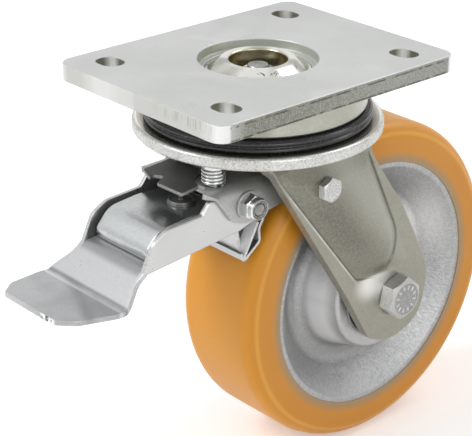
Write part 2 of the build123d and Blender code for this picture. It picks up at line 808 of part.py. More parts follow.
def make_lock_plate():
    """Flat plate with a hooked notch, rolled at the rear round its hinge pin."""
    knuckle = lock_pin_radius + lock_knuckle_wall
    blank = plan_block([
        (lock_knuckle_left, lock_hinge_y, 0),
        (lock_knuckle_left, lock_hinge_y - knuckle - side_gap, 0),
        (-lock_left, lock_hinge_y - knuckle - side_gap, 1),
        (1.9 - lock_left, lock_hinge_y - lock_hook_reach + 3.7, 0.8),
        (-lock_hook_x, lock_hinge_y - lock_hook_reach, 0.6),
        (-lock_hook_x - 0.7, lock_hinge_y - lock_hook_reach + 3.1, 1.0),
        (-lock_notch_x, lock_hinge_y - lock_notch_reach, 1.2),
        (4.0 - lock_notch_x, lock_hinge_y - lock_front_reach, 0.8),
        (lock_right, lock_hinge_y - lock_front_reach + 0.4, 0.8),
        (lock_right - 1.6, lock_hinge_y - lock_shoulder_reach - 3.0, 1),
        (lock_shoulder_x, lock_hinge_y - lock_shoulder_reach, 1),
        (lock_knuckle_right, lock_hinge_y - 4, 1),
        (lock_knuckle_right, lock_hinge_y, 0),
    ], lock_top - lock_sheet, lock_top)
    plate = blank + rod(knuckle, lock_knuckle_left, lock_knuckle_right, lock_hinge_y, lock_hinge_z)
    hole = lock_pin_radius + pivot_clearance
    return plate - rod(hole, lock_knuckle_left, lock_knuckle_right, lock_hinge_y, lock_hinge_z)


# ---- brake shoe ----

def shoe_nose():
    """Place of the middle of the shoe's sheet at its nose, a gap away from the tread."""
    reach = wheel_radius + shoe_nose_gap + shoe_sheet / 2
    angle = math.radians(shoe_nose_angle)
    return wheel_y + reach * math.cos(angle), wheel_z + reach * math.sin(angle)


def make_brake_shoe():
    """Hook-shaped sheet: front strip, sloping underside, nose, and a lip that rises behind."""
    nose_y, nose_z = shoe_nose()
    return bent_strip([
        (nose_y - shoe_front_reach - 0.8, nose_z - shoe_front_drop + shoe_front_height, 0),
        (nose_y - shoe_front_reach, nose_z - shoe_front_drop, 1.2),
        (nose_y, nose_z, 1.8),
        (nose_y - 0.6, nose_z + shoe_lip_start, 5),
        (nose_y + shoe_lip_lean, nose_z + shoe_lip_height, 0),
    ], shoe_sheet, shoe_half_width)


def make_shoe_plate():
    """V-shaped plate in the hook: a thick limb from the pivot, and a wide strut from the fold to the lip."""
    nose_y, nose_z = shoe_nose()
    limb = bent_strip([
        (pivot_y - 0.6, pivot_z - shoe_lobe_radius - 1.6, 0),
        (nose_y - shoe_limb_reach, nose_z - shoe_limb_drop, 0),
    ], shoe_plate_thickness, shoe_plate_half_width)
    strut = bent_strip([
        (nose_y - shoe_strut_reach, nose_z - shoe_strut_drop, 0),
        (nose_y - 1.0, nose_z + shoe_strut_top, 0),
    ], shoe_sheet, shoe_half_width)
    return limb + strut - make_brake_shoe()


def make_shoe_hangers():
    """Two plates that hang the shoe on the pivot sleeve, cut to fit inside the V."""
    nose_y, nose_z = shoe_nose()
    hanger = side_plate([
        (pivot_y - shoe_lobe_radius, pivot_z - 4, 5),
        (pivot_y - 0.6, pivot_z - shoe_lobe_radius - 4, 0),
        (nose_y - shoe_strut_reach + 2.2, nose_z - shoe_strut_drop + 4.1, 0),
        (nose_y - 3.1, nose_z + shoe_strut_top - 4.0, 0),
        (pivot_y + shoe_lobe_radius + 2, pivot_z - 6, 5),
        (pivot_y + shoe_lobe_radius, pivot_z + shoe_lobe_radius, 5),
        (pivot_y - shoe_lobe_radius, pivot_z + shoe_lobe_radius, 5),
    ], hanger_inner, hanger_outer)
    hanger = hanger - make_shoe_plate() - make_brake_shoe()
    hanger -= rod(pivot_sleeve_radius + pivot_clearance, hanger_inner, hanger_outer, pivot_y, pivot_z)
    return both_sides(hanger)


# ---- the castor ----

def make_castor():
    right_outer, right_inner, right_balls = make_bearing(1)
    left_outer, left_inner, left_balls = make_bearing(-1)
    return {
        "top_plate": make_top_plate(),
        "upper_race": make_upper_race(),
        "kingpin": make_kingpin(),
        "kingpin_cup": make_kingpin_cup(),
        "kingpin_bolt": make_kingpin_bolt(),
        "kingpin_nut": make_kingpin_nut(),
        "main_balls": ring_of(Pos(main_ball_pitch_radius, 0, main_ball_z) * ball(main_ball_radius),
                              main_ball_count),
        "small_balls": ring_of(Pos(small_ball_pitch_radius, 0, small_ball_z) * ball(small_ball_radius),
                               small_ball_count),
        "crown": make_crown(),
        "seal_ring": make_seal(),
        "fork": make_fork(),
        "axle_tube": make_axle_tube(),
        "axle_bolt": make_axle_bolt(),
        "axle_nut": make_axle_nut(),
        "bearing_spacer_middle": make_bearing_spacer(-bearing_inside, bearing_inside),
        "bearing_spacer_right": make_bearing_spacer(bearing_outside, fork_inner),
        "bearing_spacer_left": make_bearing_spacer(-fork_inner, -bearing_outside),
        "bearing_outer_right": right_outer,
        "bearing_inner_right": right_inner,
        "bearing_balls_right": right_balls,
        "bearing_outer_left": left_outer,
        "bearing_inner_left": left_inner,
        "bearing_balls_left": left_balls,
        "dust_cover_right": make_cover(1),
        "dust_cover_left": make_cover(-1),
        "wheel_hub": make_hub(),
        "wheel_tread": make_tread(),
        "brake_saddle": make_saddle(),
        "cross_bolt": swapped(make_small_bolt(panel_outer, cross_bolt_y, cross_bolt_z)),
        "cross_nut": swapped(make_lock_nut(panel_outer, cross_bolt_y, cross_bolt_z)),
        "cross_nut_ring": swapped(make_lock_ring(panel_outer, cross_bolt_y, cross_bolt_z)),
        "cross_spacers": make_cross_spacers(),
        "pivot_bolt": make_small_bolt(saddle_outer + washer_thickness, pivot_y, pivot_z),
        "pivot_nut": make_lock_nut(saddle_outer + washer_thickness, pivot_y, pivot_z),
        "pivot_nut_ring": make_lock_ring(saddle_outer + washer_thickness, pivot_y, pivot_z),
        "pivot_washers": make_washers(),
        "pivot_sleeve": make_pivot_sleeve(),
        "adjuster_bolt": make_adjuster_bolt(),
        "adjuster_boss": make_adjuster_boss(),
        "adjuster_spring": make_adjuster_spring(),
        "pedal": make_pedal(),
        "release_lever": make_release_lever(),
        "push_pin": make_push_pin(),
        "lock_plate": make_lock_plate(),
        "lock_pin": make_lock_pin(),
        "brake_shoe": make_brake_shoe(),
        "shoe_plate": make_shoe_plate(),
        "shoe_hangers": make_shoe_hangers(),
    }


os.makedirs("parts", exist_ok=True)
for name, solid in make_castor().items():
    export_step(solid, f"parts/{name}.step")
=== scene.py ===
import bmesh
import bpy
import json
import math
import numpy as np
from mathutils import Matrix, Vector
from mathutils.geometry import delaunay_2d_cdt


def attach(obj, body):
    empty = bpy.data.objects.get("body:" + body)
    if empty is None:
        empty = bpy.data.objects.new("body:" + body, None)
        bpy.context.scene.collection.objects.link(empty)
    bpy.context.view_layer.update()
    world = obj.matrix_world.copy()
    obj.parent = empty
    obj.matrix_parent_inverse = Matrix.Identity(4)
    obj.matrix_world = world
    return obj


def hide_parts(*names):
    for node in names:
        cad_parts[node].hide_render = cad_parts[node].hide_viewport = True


# Looks of a swivel castor with a foot brake. Sizes are in millimetres and become metres when a mesh
# is made. +Z is up, +X runs along the wheel axle, -Y is the pedal side.

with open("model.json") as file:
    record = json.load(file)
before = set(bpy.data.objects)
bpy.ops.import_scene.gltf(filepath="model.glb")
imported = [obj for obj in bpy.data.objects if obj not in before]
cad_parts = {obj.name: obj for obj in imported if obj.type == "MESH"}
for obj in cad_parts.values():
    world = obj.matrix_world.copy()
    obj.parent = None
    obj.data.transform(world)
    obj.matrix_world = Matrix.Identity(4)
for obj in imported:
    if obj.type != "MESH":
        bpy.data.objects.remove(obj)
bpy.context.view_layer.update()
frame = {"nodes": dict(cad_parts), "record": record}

metre = 1000.0

# ---- sizes that the solids have too ----

# gaps between pieces
side_gap = 0.35
hole_gap = 0.25
turning_gap = 0.05
thread_gap = 0.02

# top plate and its recess
plate_width = 110.0
plate_length = 140.0
plate_thickness = 8.0
plate_corner = 7.0
plate_edge_break = 0.8
slot_spacing_x = 77.5
slot_spacing_y = 105.0
slot_width = 11.0
slot_length = 14.0
recess_radius = 27.0
recess_depth = 4.6
seat_radius = 24.0

# upper race, crown and seal
race_radius = 49.0
race_bottom = -20.0
nose_radius = 45.8
nose_bottom = -23.4
crown_top = -26.0
crown_bottom = -32.0
crown_radius = 56.5
seal_top = race_bottom - side_gap
seal_inner = nose_radius + side_gap
seal_outer = 52.0
seal_valley = 50.4

# kingpin with its cup, bolt and nut
kingpin_rim_radius = 16.8
kingpin_base_radius = 22.4
kingpin_collar_radius = 26.0
kingpin_shank_radius = 15.0
kingpin_bore_radius = 13.1
kingpin_bore_depth = 9.0
kingpin_top = -0.3
cup_radius = 23.6
cup_top = -36.2
cup_bottom = -40.4
stud_radius = 5.0
stud_top = -3.2
stud_head_flats = 16.0
stud_head_height = 4.6
king_nut_flats = 17.0
king_nut_height = 3.6

# wheel
wheel_y = 53.0
wheel_z = -120.0
wheel_middle = (0, wheel_y, wheel_z)
wheel_radius = 80.0
wheel_width = 50.0
hub_rim_radius = 61.0
hub_rim_width = 49.0
hub_boss_width = 61.0
bearing_radius = 23.5
cover_thickness = 1.2
spacer_radius = 13.0

# fork
fork_inner = 32.5
fork_sheet = 6.0
fork_outer = fork_inner + fork_sheet
fork_bend = 4.0
panel_press = 2.6

# bolts, nuts and washers
axle_radius = 6.0
axle_flats = 18.5
axle_head_height = 8.0
axle_nut_height = 10.0
cross_y = 4.0
cross_z = -51.0
cross_seat = fork_outer + panel_press
pivot_y = -28.5
pivot_z = -54.6
saddle_outer = 25.2
washer_radius = 6.6
washer_thickness = 1.2
pivot_seat = saddle_outer + washer_thickness
small_radius = 3.0
small_flats = 10.4
small_head_height = 4.2
nut_hex_height = 4.2
nut_height = 7.0
nut_collar_radius = 5.0
nylon_radius = 4.3
nylon_depth = 1.8

# brake
saddle_sheet = 2.5
saddle_top = -45.2
saddle_bend = 2.0
sleeve_radius = 4.0
sleeve_bore = sleeve_radius + turning_gap
pedal_outer = saddle_outer - saddle_sheet - side_gap
pedal_sheet = 2.5
pedal_foot_half = 27.5
pedal_tip_half = 17.5
pedal_tip_y = -128.2
lever_sheet = 2.4
lever_half = 17.6
lever_top = -55.4
lever_nose = -79.2
lock_top = -43.4
lock_sheet = 1.6
lock_hinge_y = -34.0
lock_hinge_z = -42.4
lock_pin_radius = 1.2
knuckle_radius = 2.7
knuckle_left = -13.0
knuckle_right = 3.5
button_x = 2.2
button_y = -46.9
adjuster_x = 15.2
adjuster_y = -39.4
adjuster_head_radius = 4.0
adjuster_boss_radius = 5.6
adjuster_boss_height = 5.0
spring_wire = 1.5
spring_mean = 4.7
spring_turns = 4.0
shoe_nose_y = -17.25
shoe_nose_z = -77.12
shoe_sheet = 1.4
shoe_half = 21.0
shoe_plate_sheet = 2.6
shoe_plate_half = 16.8

# ---- forms and places of the visible pieces alone ----

# outline and pressed panel of the fork's legs
fork_front = -26.0
fork_rear = 33.0
panel_ramp = 9.0
panel_step = 0.7
panel_foot = 0.35
panel_top = crown_bottom - 7.5
panel_low = wheel_z + 14.9
panel_corners = [
    (-24.0, panel_top, 1.5),
    (27.0, panel_low, 6.5),
    (46.7, wheel_z + 11.4, 14),
    (56.0, wheel_z + 28.0, 22),
    (32.3, panel_top - 1.5, 2),
]
# place of the painted highlight on the fork's legs above the axle bolt
bolt_highlight_y = 39.2
bolt_highlight_z = -109.2

# bolt heads
axle_head_turn = math.radians(-12)
head_face_share = 0.87
head_dish = 0.25
dash_count = 12
dash_ring = 0.72

# wheel hub and pedal
hub_boss_foot = 35.6
pedal_foot_y = -98.2


# ---- runs and loops of points ----

def rounded(corners, closed=True, fine=7):
    """Run through (u, v, r) corners. A corner with half angle h becomes the arc about the point
    r / sin h along its bisector, between its tangent points r / tan h back along both runs. A quarter
    turn has the fine number of steps."""
    place = np.array([corner[:2] for corner in corners], float)
    count = len(corners)
    run = []
    for i, here in enumerate(place):
        radius = corners[i][2]
        if radius == 0 or (not closed and i in (0, count - 1)):
            run.append(here[None])
            continue
        back = place[i - 1] - here
        ahead = place[(i + 1) % count] - here
        back /= np.linalg.norm(back)
        ahead /= np.linalg.norm(ahead)
        half = math.acos(float(np.clip(back @ ahead, -1, 1))) / 2
        turn = math.pi - 2 * half
        middle = here + (back + ahead) / np.linalg.norm(back + ahead) * radius / math.sin(half)
        start = here + back * radius / math.tan(half) - middle
        end = here + ahead * radius / math.tan(half) - middle
        share = np.linspace(0, 1, max(3, math.ceil(turn / math.pi * 2 * fine) + 1))[:, None]
        arc = (np.sin((1 - share) * turn) * start + np.sin(share * turn) * end) / math.sin(turn)
        run.append(middle + arc)
    run = np.concatenate(run)
    least_step = 1e-5
    step = np.linalg.norm(run - np.roll(run, 1, 0), axis=1)
    keep = step > least_step
    if not closed:
        keep[0] = True
    return run[keep]


def closer(run, spacing, closed=True):
    """The run with points added so that neighbours are at most the spacing apart."""
    start = run if closed else run[:-1]
    end = np.roll(run, -1, 0) if closed else run[1:]
    count = np.maximum(1, np.ceil(np.linalg.norm(end - start, axis=1) / spacing)).astype(int)
    which = np.repeat(np.arange(len(count)), count)
    first = np.repeat(np.cumsum(count) - count, count)
    share = ((np.arange(len(which)) - first) / count[which])[:, None]
    points = start[which] * (1 - share) + end[which] * share
    return points if closed else np.concatenate([points, run[-1:]])


def round_angles(count):
    """One row of angles round a full turn."""
    return np.linspace(0, 2 * np.pi, count, endpoint=False)[None]


def circle(u, v, radius, count):
    """Points (u + r cos a, v + r sin a)."""
    angle = round_angles(count)[0]
    return np.stack([u + radius * np.cos(angle), v + radius * np.sin(angle)], 1)


def oriented(loop, outer):
    """Outer loops run anticlockwise and holes clockwise, so the solid is on the left of both."""
    least_step = 1e-3
    loop = loop[np.linalg.norm(loop - np.roll(loop, 1, 0), axis=1) > least_step]
    after = np.roll(loop, -1, 0)
    area = (loop[:, 0] * after[:, 1] - after[:, 0] * loop[:, 1]).sum()
    return loop if (area > 0) == outer else loop[::-1]


def away(loop):
    """Mitred normals pointing out of the solid: the mean of both sides' normals over its cosine, which
    is held at a least value so that a sharp corner's mitre stays short."""
    least_cosine = 0.6
    side = np.roll(loop, -1, 0) - loop
    side /= np.linalg.norm(side, axis=1)[:, None]
    normal = np.stack([side[:, 1], -side[:, 0]], 1)
    mean = normal + np.roll(normal, 1, 0)
    mean /= np.linalg.norm(mean, axis=1)[:, None]
    return mean / np.clip((mean * normal).sum(1), least_cosine, 1)[:, None]


def inside(points, loops):
    """True where a ray along +u crosses the loops an odd number of times."""
    odd = np.zeros(len(points), bool)
    least_rise = 1e-12
    for loop in loops:
        after = np.roll(loop, -1, 0)
        spans = (loop[None, :, 1] > points[:, 1:]) != (after[None, :, 1] > points[:, 1:])
        rise = np.where(loop[:, 1] == after[:, 1], least_rise, after[:, 1] - loop[:, 1])
        slope = (after[:, 0] - loop[:, 0]) / rise
        cross = loop[None, :, 0] + (points[:, 1:] - loop[None, :, 1]) * slope[None]
        odd ^= ((spans & (points[:, :1] < cross)).sum(1) % 2).astype(bool)
    return odd


def gap_to(points, loop):
    """Distance from each point to the nearest side of a loop."""
    side = np.roll(loop, -1, 0) - loop
    offset = points[:, None] - loop[None]
    share = np.clip((offset * side).sum(2) / (side * side).sum(1), 0, 1)
    return np.linalg.norm(offset - share[..., None] * side, axis=2).min(1)


# ---- surfaces ----

def grid(points, wrap_rows=False):
    """Quads between neighbours of a (rows, columns, 3) array whose rows are closed rings."""
    rows, columns = points.shape[:2]
    number = np.arange(rows * columns).reshape(rows, columns)
    if wrap_rows:
        number = np.concatenate([number, number[:1]], 0)
    number = np.concatenate([number, number[:, :1]], 1)
    quads = np.stack([number[:-1, :-1], number[:-1, 1:], number[1:, 1:], number[1:, :-1]], -1)
    return points.reshape(-1, 3), quads.reshape(-1, 4)


def fill(loops, spacing=None, guides=()):
    """Triangles between loops, through their points and a staggered lattice of the given spacing.
    Guides are further loops that the triangles' sides follow."""
    row_share = 0.866
    clear_share = 0.6
    runs = list(loops) + list(guides)
    points = np.concatenate(runs)
    sizes = [len(run) for run in runs]
    starts = np.cumsum([0] + sizes[:-1])
    sides = [np.stack([first + np.arange(n), first + (np.arange(n) + 1) % n], 1)
             for first, n in zip(starts, sizes)]
    if spacing:
        low, high = points.min(0), points.max(0)
        across = np.arange(low[0], high[0], spacing)
        upward = np.arange(low[1], high[1], spacing * row_share)
        u, v = np.meshgrid(across, upward)
        u = u + (np.arange(len(u)) % 2)[:, None] * spacing / 2
        lattice = np.stack([u.ravel(), v.ravel()], 1)
        lattice = lattice[inside(lattice, loops)]
        for run in runs:
            lattice = lattice[gap_to(lattice, run) > spacing * clear_share]
        points = np.concatenate([points, lattice])
    places = [Vector(point) for point in points.tolist()]
    found = delaunay_2d_cdt(places, np.concatenate(sides).tolist(), [], 0, 1e-6)
    flat = np.array([tuple(p) for p in found[0]])
    triangles = np.array([list(face) for face in found[2]])
    triangles = triangles[inside(flat[triangles].mean(1), loops)]
    return flat, triangles


def rim(loop, low, high, low_soft, high_soft, place, fine=4):
    """Edge profile carried round a loop: a quarter circle at each face, drawn in along the normals.
    The third part is the edge share of each point, the sine of its place on the quarter circle."""
    normal = away(loop)
    angle = np.linspace(0, np.pi / 2, fine)
    reach = np.sin(angle)
    fall = 1 - np.cos(angle)
    inset = np.concatenate([high_soft * (1 - reach), low_soft * (1 - reach)[::-1]])
    level = np.concatenate([high - high_soft * fall, (low + low_soft * fall)[::-1]])
    edge = loop[None] - normal[None] * inset[:, None, None]
    level = np.broadcast_to(level[:, None], edge.shape[:2])
    points, faces = grid(place(edge[..., 0], edge[..., 1], level))
    return points, faces, np.repeat(np.concatenate([reach, reach[::-1]]), len(loop))


def sheet(outer, holes, low, high, place, soft, high_soft=None, spacing=None, guides=()):
    """Plate between two levels w: both faces filled, every loop with a softened rim, all put in
    space by place(u, v, w)."""
    high_soft = high_soft or soft
    loops = [oriented(outer, True)] + [oriented(hole, False) for hole in holes]
    if spacing:
        loops = [closer(loop, spacing) for loop in loops]
    parts = [rim(loop, low, high, soft, high_soft, place) for loop in loops]
    for level, inset, order in ((high, high_soft, 1), (low, soft, -1)):
        flat, triangles = fill([loop - away(loop) * inset for loop in loops], spacing, guides)
        parts.append((place(flat[:, 0], flat[:, 1], np.full(len(flat), level)), triangles[:, ::order]))
    return parts


def upright(u, v, w):
    """A sheet that lies flat: (x, y, z) = (u, v, w)."""
    return np.stack([u, v, w], -1)


def sideways(u, v, w):
    """A sheet in the YZ plane: (x, y, z) = (w, u, v)."""
    return np.stack([w, u, v], -1)


def along(path):
    """A sheet across X that follows a (y, z) path: v is the length along it and w the height over
    its right-hand side, (x, y, z) = (u, path(v) + w * normal(v))."""
    step = np.diff(path, axis=0)
    length = np.concatenate([[0], np.cumsum(np.linalg.norm(step, axis=1))])
    heading = np.unwrap(np.arctan2(step[:, 1], step[:, 0]))
    heading = np.concatenate([heading[:1], (heading[1:] + heading[:-1]) / 2, heading[-1:]])

    def place(u, v, w):
        turn = np.interp(v, length, heading)
        y = np.interp(v, length, path[:, 0]) + w * np.sin(turn)
        z = np.interp(v, length, path[:, 1]) - w * np.cos(turn)
        return np.stack([np.broadcast_to(u, y.shape), y, z], -1)

    place.length = length
    return place


def channel(half_width, top, thickness, bend):
    """A sheet bent down at both sides. u is the length across it from the middle: with a the flat
    half width and R the bend's middle radius, the bend angle is t = (|u| - a) / R held between 0 and
    90 degrees, x = min(|u|, a) + R sin t and z = -R (1 - cos t) - the length past the bend."""
    flat = half_width - thickness - bend
    radius = bend + thickness / 2

    def place(u, v, w):
        reach = np.abs(u)
        turn = np.clip((reach - flat) / radius, 0, np.pi / 2)
        past = np.maximum(reach - flat - radius * np.pi / 2, 0)
        x = np.minimum(reach, flat) + (radius + w) * np.sin(turn)
        z = top - thickness / 2 - radius + (radius + w) * np.cos(turn) - past
        return np.stack([np.sign(u) * x, np.broadcast_to(v, x.shape), z], -1)

    def length(z):
        drop = top - thickness / 2 - z
        turn = np.arccos(np.clip(1 - drop / radius, 0, 1))
        return flat + radius * turn + np.maximum(drop - radius, 0)

    place.length = length
    return place


def lathe(radius, height, axis, centre, count, wrap=True):
    """Surface of revolution: centre + r (cos a, sin a) across the axis + h along it. The radius may
    also change with the angle a."""
    angle = round_angles(count)
    radius, height = [rows[:, None] if rows.ndim == 1 else rows for rows in (radius, height)]
    across = radius * np.cos(angle)
    over = radius * np.sin(angle)
    height = np.broadcast_to(height, across.shape)
    if axis == "Z":
        points = np.stack([across, over, height], -1)
    else:
        points = np.stack([height, across, over], -1)
    return grid(points + np.array(centre), wrap_rows=wrap)


def turned(corners, count, axis="Z", centre=(0, 0, 0), fine=6):
    """Solid of revolution from a closed loop of (radius, height, corner radius)."""
    profile = rounded(corners, fine=fine)
    return [lathe(profile[:, 0], profile[:, 1], axis, centre, count)]


def rod(radius, start, end, axis, centre, count):
    """Plain round rod between two places along an axis."""
    return turned([(0, start, 0), (radius, start, 0), (radius, end, 0), (0, end, 0)], count, axis, centre)


# (u, v) points times this are their mirror image
mirror = (-1, 1)


def on_blank(place, run):
    """A (y, z) run on a channel's right leg, as (u, v) on its flat blank."""
    return np.stack([place.length(run[:, 1]), run[:, 0]], 1)


def leg_holes(place, spots):
    """Round holes through both legs of a channel's blank, from (y, z, radius, count)."""
    holes = []
    for spot in spots:
        hole = on_blank(place, circle(*spot))
        holes += [hole, hole * mirror]
    return holes


def both_sides(parts):
    """The parts and their mirror image in the YZ plane."""
    return parts + [(part[0] * (-1, 1, 1), part[1][:, ::-1], *part[2:]) for part in parts]


def hexagon(flats, angle):
    """Distance from a hexagon's middle to its side: half the flats over cos of the angle to the
    nearest flat's middle."""
    near = (angle + np.pi / 6) % (np.pi / 3) - np.pi / 6
    return flats / 2 / np.cos(near)


def triangle_wave(share):
    """0 at whole numbers, 1 half way between them."""
    return 1 - np.abs(2 * (share % 1) - 1)


def screw(radius, start, end, axis, centre, pitch, depth, side=1):
    """Threaded rod: r = R - depth * wave(h / pitch - a / 2 pi), cut down by a chamfer at its tip."""
    count = 48
    rows_per_pitch = 8
    chamfer_depth = 1.1 * depth
    chamfer_slope = 0.8
    tip_radius = 0.55 * radius
    rows = max(rows_per_pitch, int((end - start) / pitch * rows_per_pitch))
    height = np.linspace(start, end, rows)[:, None]
    shape = radius - depth * triangle_wave(height / pitch - round_angles(count) / (2 * np.pi))
    shape = np.minimum(shape, radius - chamfer_depth + (end - height) * chamfer_slope)
    closed = np.zeros((1, count))
    shape = np.concatenate([closed, shape, closed + tip_radius, closed])
    height = np.concatenate([height[:1], height, height[-1:], height[-1:]])
    return [lathe(shape, side * height, axis, centre, count, wrap=False)]


def hex_face(flats, height, bore=0.0, turn=0.0, count=96):
    """Radius and height rows of a hexagon whose corners are turned off by a 30 degree cone:
    r = min(hexagon, face radius + depth below the face * sqrt 3). Its face has a shallow dish, which
    reaches the middle unless there is a bore."""
    row = np.zeros((1, count))
    face = head_face_share * flats / 2
    floor = height - head_dish
    middle = bore + 0.3 if bore else 0.0
    dish = np.array([middle, face * 0.62, face - 0.7, face - 0.25])[:, None]
    dish_level = np.array([floor, floor, floor, height + 0.04])[:, None]
    depth = np.concatenate([np.linspace(0, 1.6, 9), [height - 0.3, height - 0.08, height]])[:, None]
    body = np.minimum(hexagon(flats, round_angles(count) - turn), face + depth * math.sqrt(3))
    body[-1] -= 0.3
    body[-2] -= 0.1
    radius = np.concatenate([dish + row, body, bore + row])
    rows = np.concatenate([dish_level + row, height - depth + row, row])
    return radius, rows


# ---- making pieces ----

record = frame["record"]
body_of_node = {node: body for body, nodes in record["behaviour"]["bodies"].items() for node in nodes}
replaced = set()


def piece(node, parts, material, sharp=35):
    """One object from (points, faces, edge share) parts in millimetres, standing for a CAD node. Edges
    that turn more than the sharp angle stay sharp."""
    name = node + "_made"
    weld_gap = 2e-6
    least_edge = 1e-7
    points = np.concatenate([part[0] for part in parts]) / metre
    shift = np.cumsum([0] + [len(part[0]) for part in parts[:-1]])
    faces = [face for part, first in zip(parts, shift) for face in (part[1] + first).tolist()]
    mesh = bpy.data.meshes.new(name)
    mesh.from_pydata(points.tolist(), [], faces)
    share = [part[2] if len(part) > 2 else np.zeros(len(part[0])) for part in parts]
    mesh.attributes.new("edge", "FLOAT", "POINT").data.foreach_set("value", np.concatenate(share))
    work = bmesh.new()
    work.from_mesh(mesh)
    bmesh.ops.remove_doubles(work, verts=work.verts, dist=weld_gap)
    bmesh.ops.dissolve_degenerate(work, edges=work.edges, dist=least_edge)
    bmesh.ops.recalc_face_normals(work, faces=work.faces)
    work.to_mesh(mesh)
    work.free()
    mesh.polygons.foreach_set("use_smooth", np.ones(len(mesh.polygons), bool))
    mesh.set_sharp_from_angle(angle=math.radians(sharp))
    made = bpy.data.objects.new(name, mesh)
    bpy.context.scene.collection.objects.link(made)
    mesh.materials.append(material)
    weigh = made.modifiers.new("even_normals", "WEIGHTED_NORMAL")
    weigh.keep_sharp = True
    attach(made, body_of_node[node])
    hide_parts(node)
    replaced.add(node)


# ---- shader maths ----

class Signal:
    """A shader value that adds, scales and compares through Math nodes."""

    def __init__(self, finish, socket):
        self.finish = finish
        self.socket = socket

    def maths(self, operation, *others):
        return self.finish.maths(operation, self, *others)

    def __add__(self, other):
        return self.maths("ADD", other)

    __radd__ = __add__

    def __sub__(self, other):
        return self.maths("SUBTRACT", other)

    def __rsub__(self, other):
        return self.maths("MULTIPLY_ADD", -1.0, other)

    def __mul__(self, other):
        return self.maths("MULTIPLY", other)

    __rmul__ = __mul__

    def __truediv__(self, other):
        return self.maths("DIVIDE", other)

    def __pow__(self, other):
        return self.maths("POWER", other)

    def size(self):
        return self.maths("ABSOLUTE")

    def least(self, other):
        return self.maths("MINIMUM", other)

    def most(self, other):
        return self.maths("MAXIMUM", other)

    def rise(self, low, high):
        """0 below low, 1 above high, smooth between."""
        settings = {"interpolation_type": "SMOOTHSTEP"}
        return self.finish.node("ShaderNodeMapRange", settings, {0: self, 1: low, 2: high, 3: 0.0, 4: 1.0})

    def fall(self, low, high):
        """1 below low, 0 above high, smooth between."""
        return 1 - self.rise(low, high)

    def band(self, low, high, soft):
        """1 between low and high, fading out over a soft distance on both sides."""
        return self.rise(low - soft, low + soft) * self.fall(high - soft, high + soft)


class Finish:
    """A material under way: its nodes, its coordinates and its shader. Places are in millimetres,
    and the scale of a noise is how many of its lumps fit in a metre."""

    def __init__(self, name):
        self.material = bpy.data.materials.new(name)
        self.material.use_nodes = True
        self.tree = self.material.node_tree
        self.shader = self.tree.nodes["Principled BSDF"]
        self.place = self.node("ShaderNodeTexCoord", {}, {}, "Object")

    def node(self, kind, settings, values, output=0):
        made = self.tree.nodes.new(kind)
        for key, value in settings.items():
            setattr(made, key, value)
        for key, value in values.items():
            self.put(made.inputs[key], value)
        return Signal(self, made.outputs[output])

    def put(self, socket, value):
        if isinstance(value, Signal):
            self.tree.links.new(value.socket, socket)
        elif isinstance(value, tuple) and len(value) == 3 and socket.type == "RGBA":
            socket.default_value = (*value, 1.0)
        else:
            socket.default_value = value

    def maths(self, operation, *values):
        return self.node("ShaderNodeMath", {"operation": operation}, dict(enumerate(values)))

    def scaled(self, stretch):
        """Object coordinates scaled along each axis."""
        return self.node("ShaderNodeMapping", {}, {"Vector": self.place, "Scale": stretch})

    def joined(self, *parts):
        """Coordinates made of two or three signals."""
        return self.node("ShaderNodeCombineXYZ", {}, dict(enumerate(parts)))

    def noise(self, scale, detail, rough, place=None, distortion=0.0):
        values = {"Vector": place or self.place, "Scale": scale, "Detail": detail, "Roughness": rough,
                  "Distortion": distortion}
        return self.node("ShaderNodeTexNoise", {}, values)

    def mix(self, share, first, second):
        """Colour between two colours."""
        return self.node("ShaderNodeMix", {"data_type": "RGBA"}, {0: share, 6: first, 7: second}, 2)

    def axis(self, index):
        """One coordinate of the place, in millimetres."""
        return self.node("ShaderNodeSeparateXYZ", {}, {0: self.place}, index) * metre

    def axes(self):
        return [self.axis(index) for index in range(3)]

    def spokes(self, axis, centre):
        """The two coordinates across an axis, from a centre."""
        first, second = (1, 2) if axis == "X" else (0, 1)
        return self.axis(first) - centre[first], self.axis(second) - centre[second]

    def reach(self, axis, centre=(0, 0, 0)):
        """Distance from a line along an axis through a centre, in millimetres."""
        a, b = self.spokes(axis, centre)
        return (a * a + b * b) ** 0.5

    def turn(self, axis, centre=(0, 0, 0)):
        """Angle about a line along an axis through a centre."""
        a, b = self.spokes(axis, centre)
        return self.maths("ARCTAN2", b, a)

    def facing(self, index):
        """One part of the surface's outward direction, -1 to 1."""
        outward = self.node("ShaderNodeTexCoord", {}, {}, "Normal")
        return self.node("ShaderNodeSeparateXYZ", {}, {0: outward}, index)

    def edge(self):
        """The piece's own edge share: 1 on the cut sides of a sheet, 0 on its faces."""
        return self.node("ShaderNodeAttribute", {"attribute_name": "edge"}, {}, 2)

    def bump(self, height, depth, under=None):
        """Surface raised by a height of 0 to 1 times a depth in millimetres."""
        values = {"Height": height, "Distance": depth / metre, "Strength": 1.0}
        if under is not None:
            values["Normal"] = under
        return self.node("ShaderNodeBump", {}, values)

    def wear(self, **sockets):
        for name, value in sockets.items():
            self.put(self.shader.inputs[name.replace("_", " ")], value)
        return self.material


def darker(tone, share):
    return tuple(share * part for part in tone)


def behind_line(y, z, start, end):
    """How far a (y, z) place lies towards +Y of the line that runs down from start to end."""
    run = math.dist(start[:2], end[:2])
    return (y - start[0]) * ((start[1] - end[1]) / run) + (z - start[1]) * ((end[0] - start[0]) / run)


# ---- finishes ----

